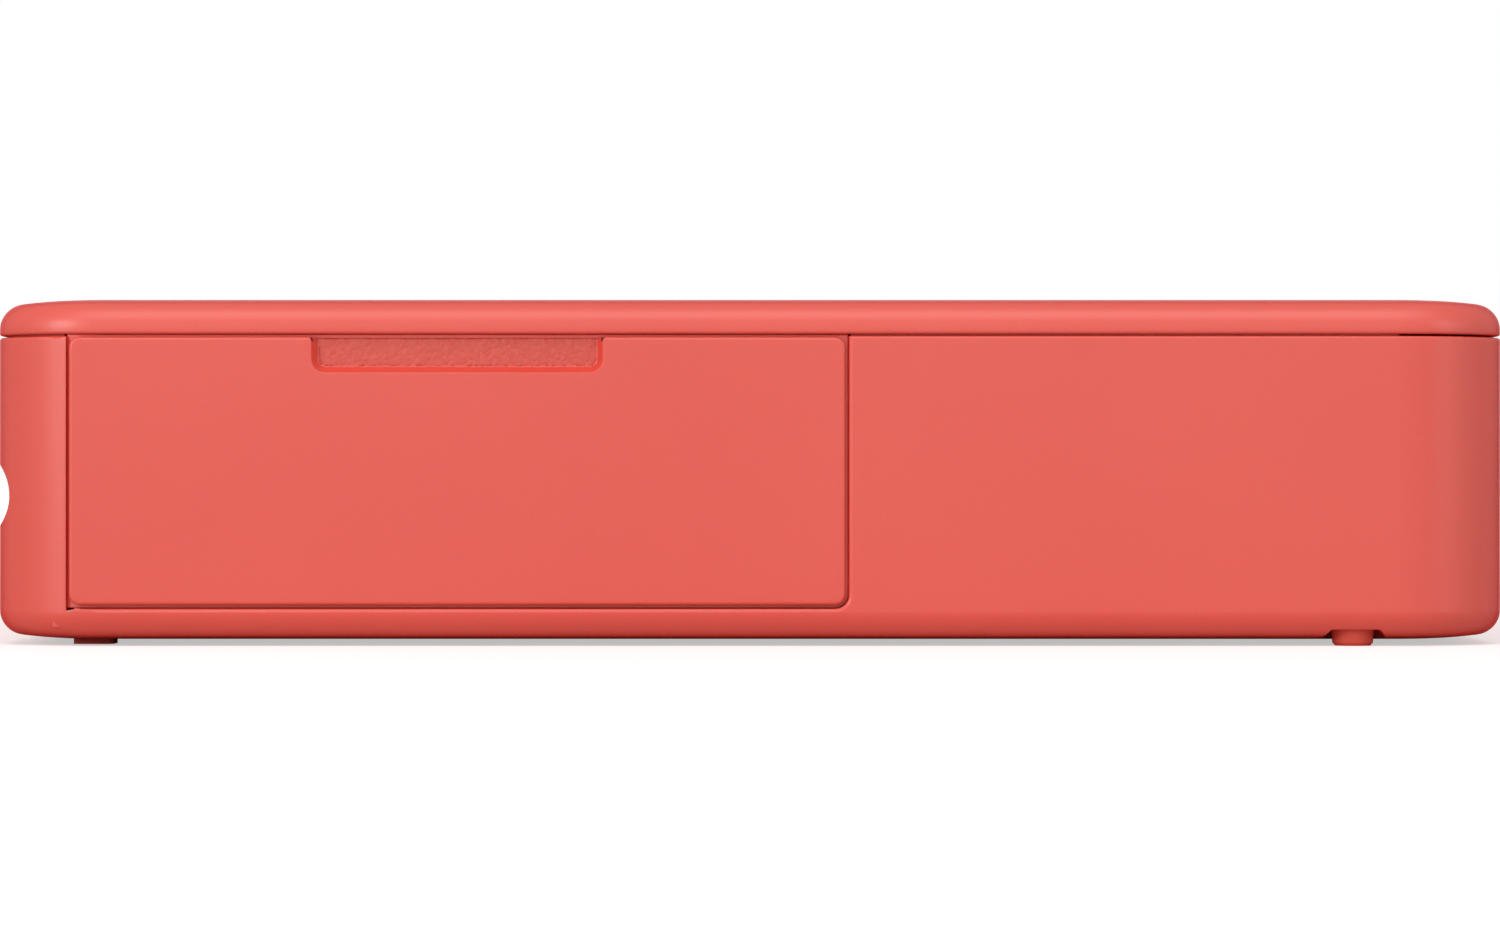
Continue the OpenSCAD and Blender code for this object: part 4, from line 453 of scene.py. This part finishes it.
def make_recess_grain():
    """The sand-like grain on the floor of the door's finger recess."""
    door_low, door_high = (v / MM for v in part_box("cassette_door"))
    middle = (door_low.x + door_high.x) / 2
    face, depth, proud, seat = door_low.y, 0.9, 0.01, 0.1
    step, lift, pitch, seed, border = 0.15, 0.12, 0.42, 11.0, 0.25
    half, corner, foot, top = 13.3, 0.7, door_high.z - 2.8, door_high.z - 0.06

    def place_of(u, v):
        x = (2 * u - 1) * half
        beyond = max(0.0, abs(x) - half + corner)
        bottom = foot + corner - math.sqrt(corner * corner - beyond * beyond)
        z = bottom + (top - bottom) * v
        edge = min(1.0, min(half - abs(x), z - bottom, top - z) / border)
        y = face + depth + proud - lift * max(0.0, edge) * pebble(x, z, pitch, seed)
        return Vector((middle + x, y, z)) * MM

    grain = grained_sheet("recess_grain", int(2 * half / step), int((top - foot) / step), place_of,
                          lambda p: Vector((p.x, (face + depth + seat) * MM, p.z)))
    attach(grain, "door")


def make_door_lip():
    """The narrow lip round the door's edge that closes the gap from behind, as a light and dust stop.

    It fills the square corners of the opening, and follows the round one beside the flat wall.
    """
    door_low, door_high = (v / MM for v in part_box("cassette_door"))
    case_corner = 11.0
    case_corner_x = cad_low.x / MM + case_corner
    edge, gap, slack, overlap = 1.0, 0.3, 0.03, 0.12
    sink, sink_round, turned = 0.75, 0.45, 0.1
    thick, deepest, steps = 0.55, 1.3, 8
    centres = [((door_high.x - edge, door_high.z - edge), 90, True),
               ((door_high.x - edge, door_low.z + edge), 0, False),
               ((door_low.x + edge, door_low.z + edge), -90, True),
               ((door_low.x + edge, door_high.z - edge), -180, True)]

    def face_y(x):
        """The case's outer face, which turns away into the round corner at the slot end."""
        beyond = max(0.0, case_corner_x - x)
        return door_low.y + case_corner - math.sqrt(case_corner ** 2 - beyond ** 2)

    def front_y(x):
        """The lip's front, which lies less deep where the outer face has turned away."""
        face = face_y(x)
        return face + (sink_round if face > door_low.y + turned else sink)

    outer = edge + gap - slack
    inner = edge - overlap
    pairs = []
    for (cx, cz), start, square in centres:
        for k in range(steps + 1):
            turn = math.radians(start - 90 * k / steps)
            cosine, sine = math.cos(turn), math.sin(turn)
            reach = outer / max(abs(cosine), abs(sine)) if square else outer
            pairs.append(((cx + inner * cosine, cz + inner * sine), (cx + reach * cosine, cz + reach * sine)))

    mesh = bmesh.new()
    rings = []
    for near, far in pairs:
        front = [front_y(p[0]) for p in (near, far)]
        back = min(door_low.y + deepest, max(front) + thick)
        corners = [(near[0], front[0], near[1]), (far[0], front[1], far[1]),
                   (far[0], back, far[1]), (near[0], back, near[1])]
        rings.append([mesh.verts.new(Vector(c) * MM) for c in corners])
    for i in range(len(rings)):
        for j in range(4):
            mesh.faces.new((rings[i - 1][j - 1], rings[i - 1][j], rings[i][j], rings[i][j - 1]))
    lip = finished_piece("door_lip", mesh, "door_plastic")
    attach(lip, "door")


def make_release_spring():
    """The coil spring behind the release slider, of round wire."""
    low, high = (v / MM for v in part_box("slider_spring"))
    centre, length = (low + high) / 2, high.x - low.x
    turns, wire, travel = 6, 0.22, 2.4
    coil = (high.z - low.z) / 2 - wire
    steps, facets = turns * 32, 10
    mesh = bmesh.new()
    rings = []
    along = Vector((1, 0, 0))
    for i in range(steps + 1):
        angle = 2 * math.pi * turns * i / steps
        outward = Vector((0, math.cos(angle), math.sin(angle)))
        spine = Vector((low.x + wire + (length - 2 * wire) * i / steps, centre.y, centre.z)) + outward * coil
        ring = []
        for k in range(facets):
            turn = 2 * math.pi * k / facets
            point = spine + wire * (outward * math.cos(turn) + along * math.sin(turn))
            ring.append(mesh.verts.new(point * MM))
        rings.append(ring)
    for i in range(steps):
        for k in range(facets):
            mesh.faces.new((rings[i][k - 1], rings[i][k], rings[i + 1][k], rings[i + 1][k - 1])).smooth = True
    mesh.faces.new(rings[0])
    mesh.faces.new(rings[-1][::-1])
    spring = finished_piece("release_spring", mesh, "spring_steel")
    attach(spring, "case")
    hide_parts("slider_spring")
    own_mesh(spring)


make_cover_grain()
make_recess_grain()
make_door_lip()
make_release_spring()


# ---- Studio ----------------------------------------------------------------

def aim(thing, at):
    """Turns a lamp or the camera towards a point."""
    thing.rotation_euler = (Vector(at) - thing.location).to_track_quat("-Z", "Y").to_euler()


def softbox(name, place, at, width, height, power):
    """A large soft lamp."""
    lamp = bpy.data.lights.new(name, "AREA")
    lamp.shape, lamp.size, lamp.size_y, lamp.energy = "RECTANGLE", width, height, power
    holder = bpy.data.objects.new(name, lamp)
    bpy.context.scene.collection.objects.link(holder)
    holder.location = place
    aim(holder, at)


def make_floor():
    """A plain pale floor that looks white to the camera and keeps the object's shadow."""
    material, tree, place = blank("pale_floor")
    ray = add(tree, "LightPath")
    away = add(tree, "VectorMath", {0: place}, operation="LENGTH")
    whiter = add(tree, "MapRange", {"Value": away.outputs["Value"], "From Min": 0.1, "From Max": 0.6,
                                    "To Min": 0.5, "To Max": 1.0})
    seen = add(tree, "Math", {0: whiter.outputs["Result"], 1: ray.outputs["Is Camera Ray"]},
               operation="MULTIPLY")
    paint = add(tree, "BsdfDiffuse", {"Color": linear("#DCDCDA")})
    glow = add(tree, "Emission", {"Color": linear("#FFFFFF"), "Strength": seen.outputs["Value"]})
    both = add(tree, "AddShader", {0: paint.outputs["BSDF"], 1: glow.outputs["Emission"]})
    add(tree, "OutputMaterial", {"Surface": both.outputs["Shader"]})
    bpy.ops.mesh.primitive_plane_add(size=6, location=(0, 0, 0))
    floor = bpy.context.active_object
    floor.name = "floor"
    floor.data.materials.append(material)


def make_world():
    """White to the camera and to reflections, and a softer grey as light on the object."""
    world = bpy.data.worlds.new("studio")
    bpy.context.scene.world = world
    world.use_nodes = True
    tree = world.node_tree
    tree.nodes.clear()
    ray = add(tree, "LightPath")
    either = add(tree, "Math", {0: ray.outputs["Is Camera Ray"], 1: ray.outputs["Is Transmission Ray"]},
                 operation="MAXIMUM")
    seen = add(tree, "Math", {0: either.outputs["Value"], 1: ray.outputs["Is Glossy Ray"]},
               operation="MAXIMUM")
    level = add(tree, "MapRange", {"Value": seen.outputs["Value"], "To Min": 0.28, "To Max": 1.0})
    sky = add(tree, "Background", {"Color": linear("#FFFFFF"), "Strength": level.outputs["Result"]})
    add(tree, "OutputWorld", {"Surface": sky.outputs["Background"]})


def make_camera():
    """Level with the middle of the case, square to the cassette door's side, from half a metre."""
    near_face, distance, eye_height = cad_low.y, 0.5, 16.63 * MM
    view_width, sensor = 142.86 * MM, 36.0
    camera = bpy.data.cameras.new("camera")
    camera.sensor_width, camera.lens = sensor, sensor * distance / view_width
    camera.clip_start, camera.clip_end = 0.05, 20
    holder = bpy.data.objects.new("camera", camera)
    bpy.context.scene.collection.objects.link(holder)
    holder.location = (0, near_face - distance, eye_height)
    aim(holder, (0, 0, eye_height))
    bpy.context.scene.camera = holder


make_floor()
make_world()
make_camera()
softbox("left_front_box", (-1.02, -0.93, 0.4), (0, -0.02, 0.015), 0.3, 0.55, 6.0)
softbox("front_box", (0.0, -1.6, 0.3), (0, -0.05, 0.015), 1.4, 0.6, 2.6)
softbox("shoulder_box", (0.0, -0.62, 1.04), (0, -0.04, 0.02), 1.2, 0.8, 5.6)
softbox("right_front_box", (1.25, -0.85, 0.4), (0, -0.02, 0.015), 0.5, 0.6, 2.4)
bpy.context.scene.view_settings.view_transform = "Standard"
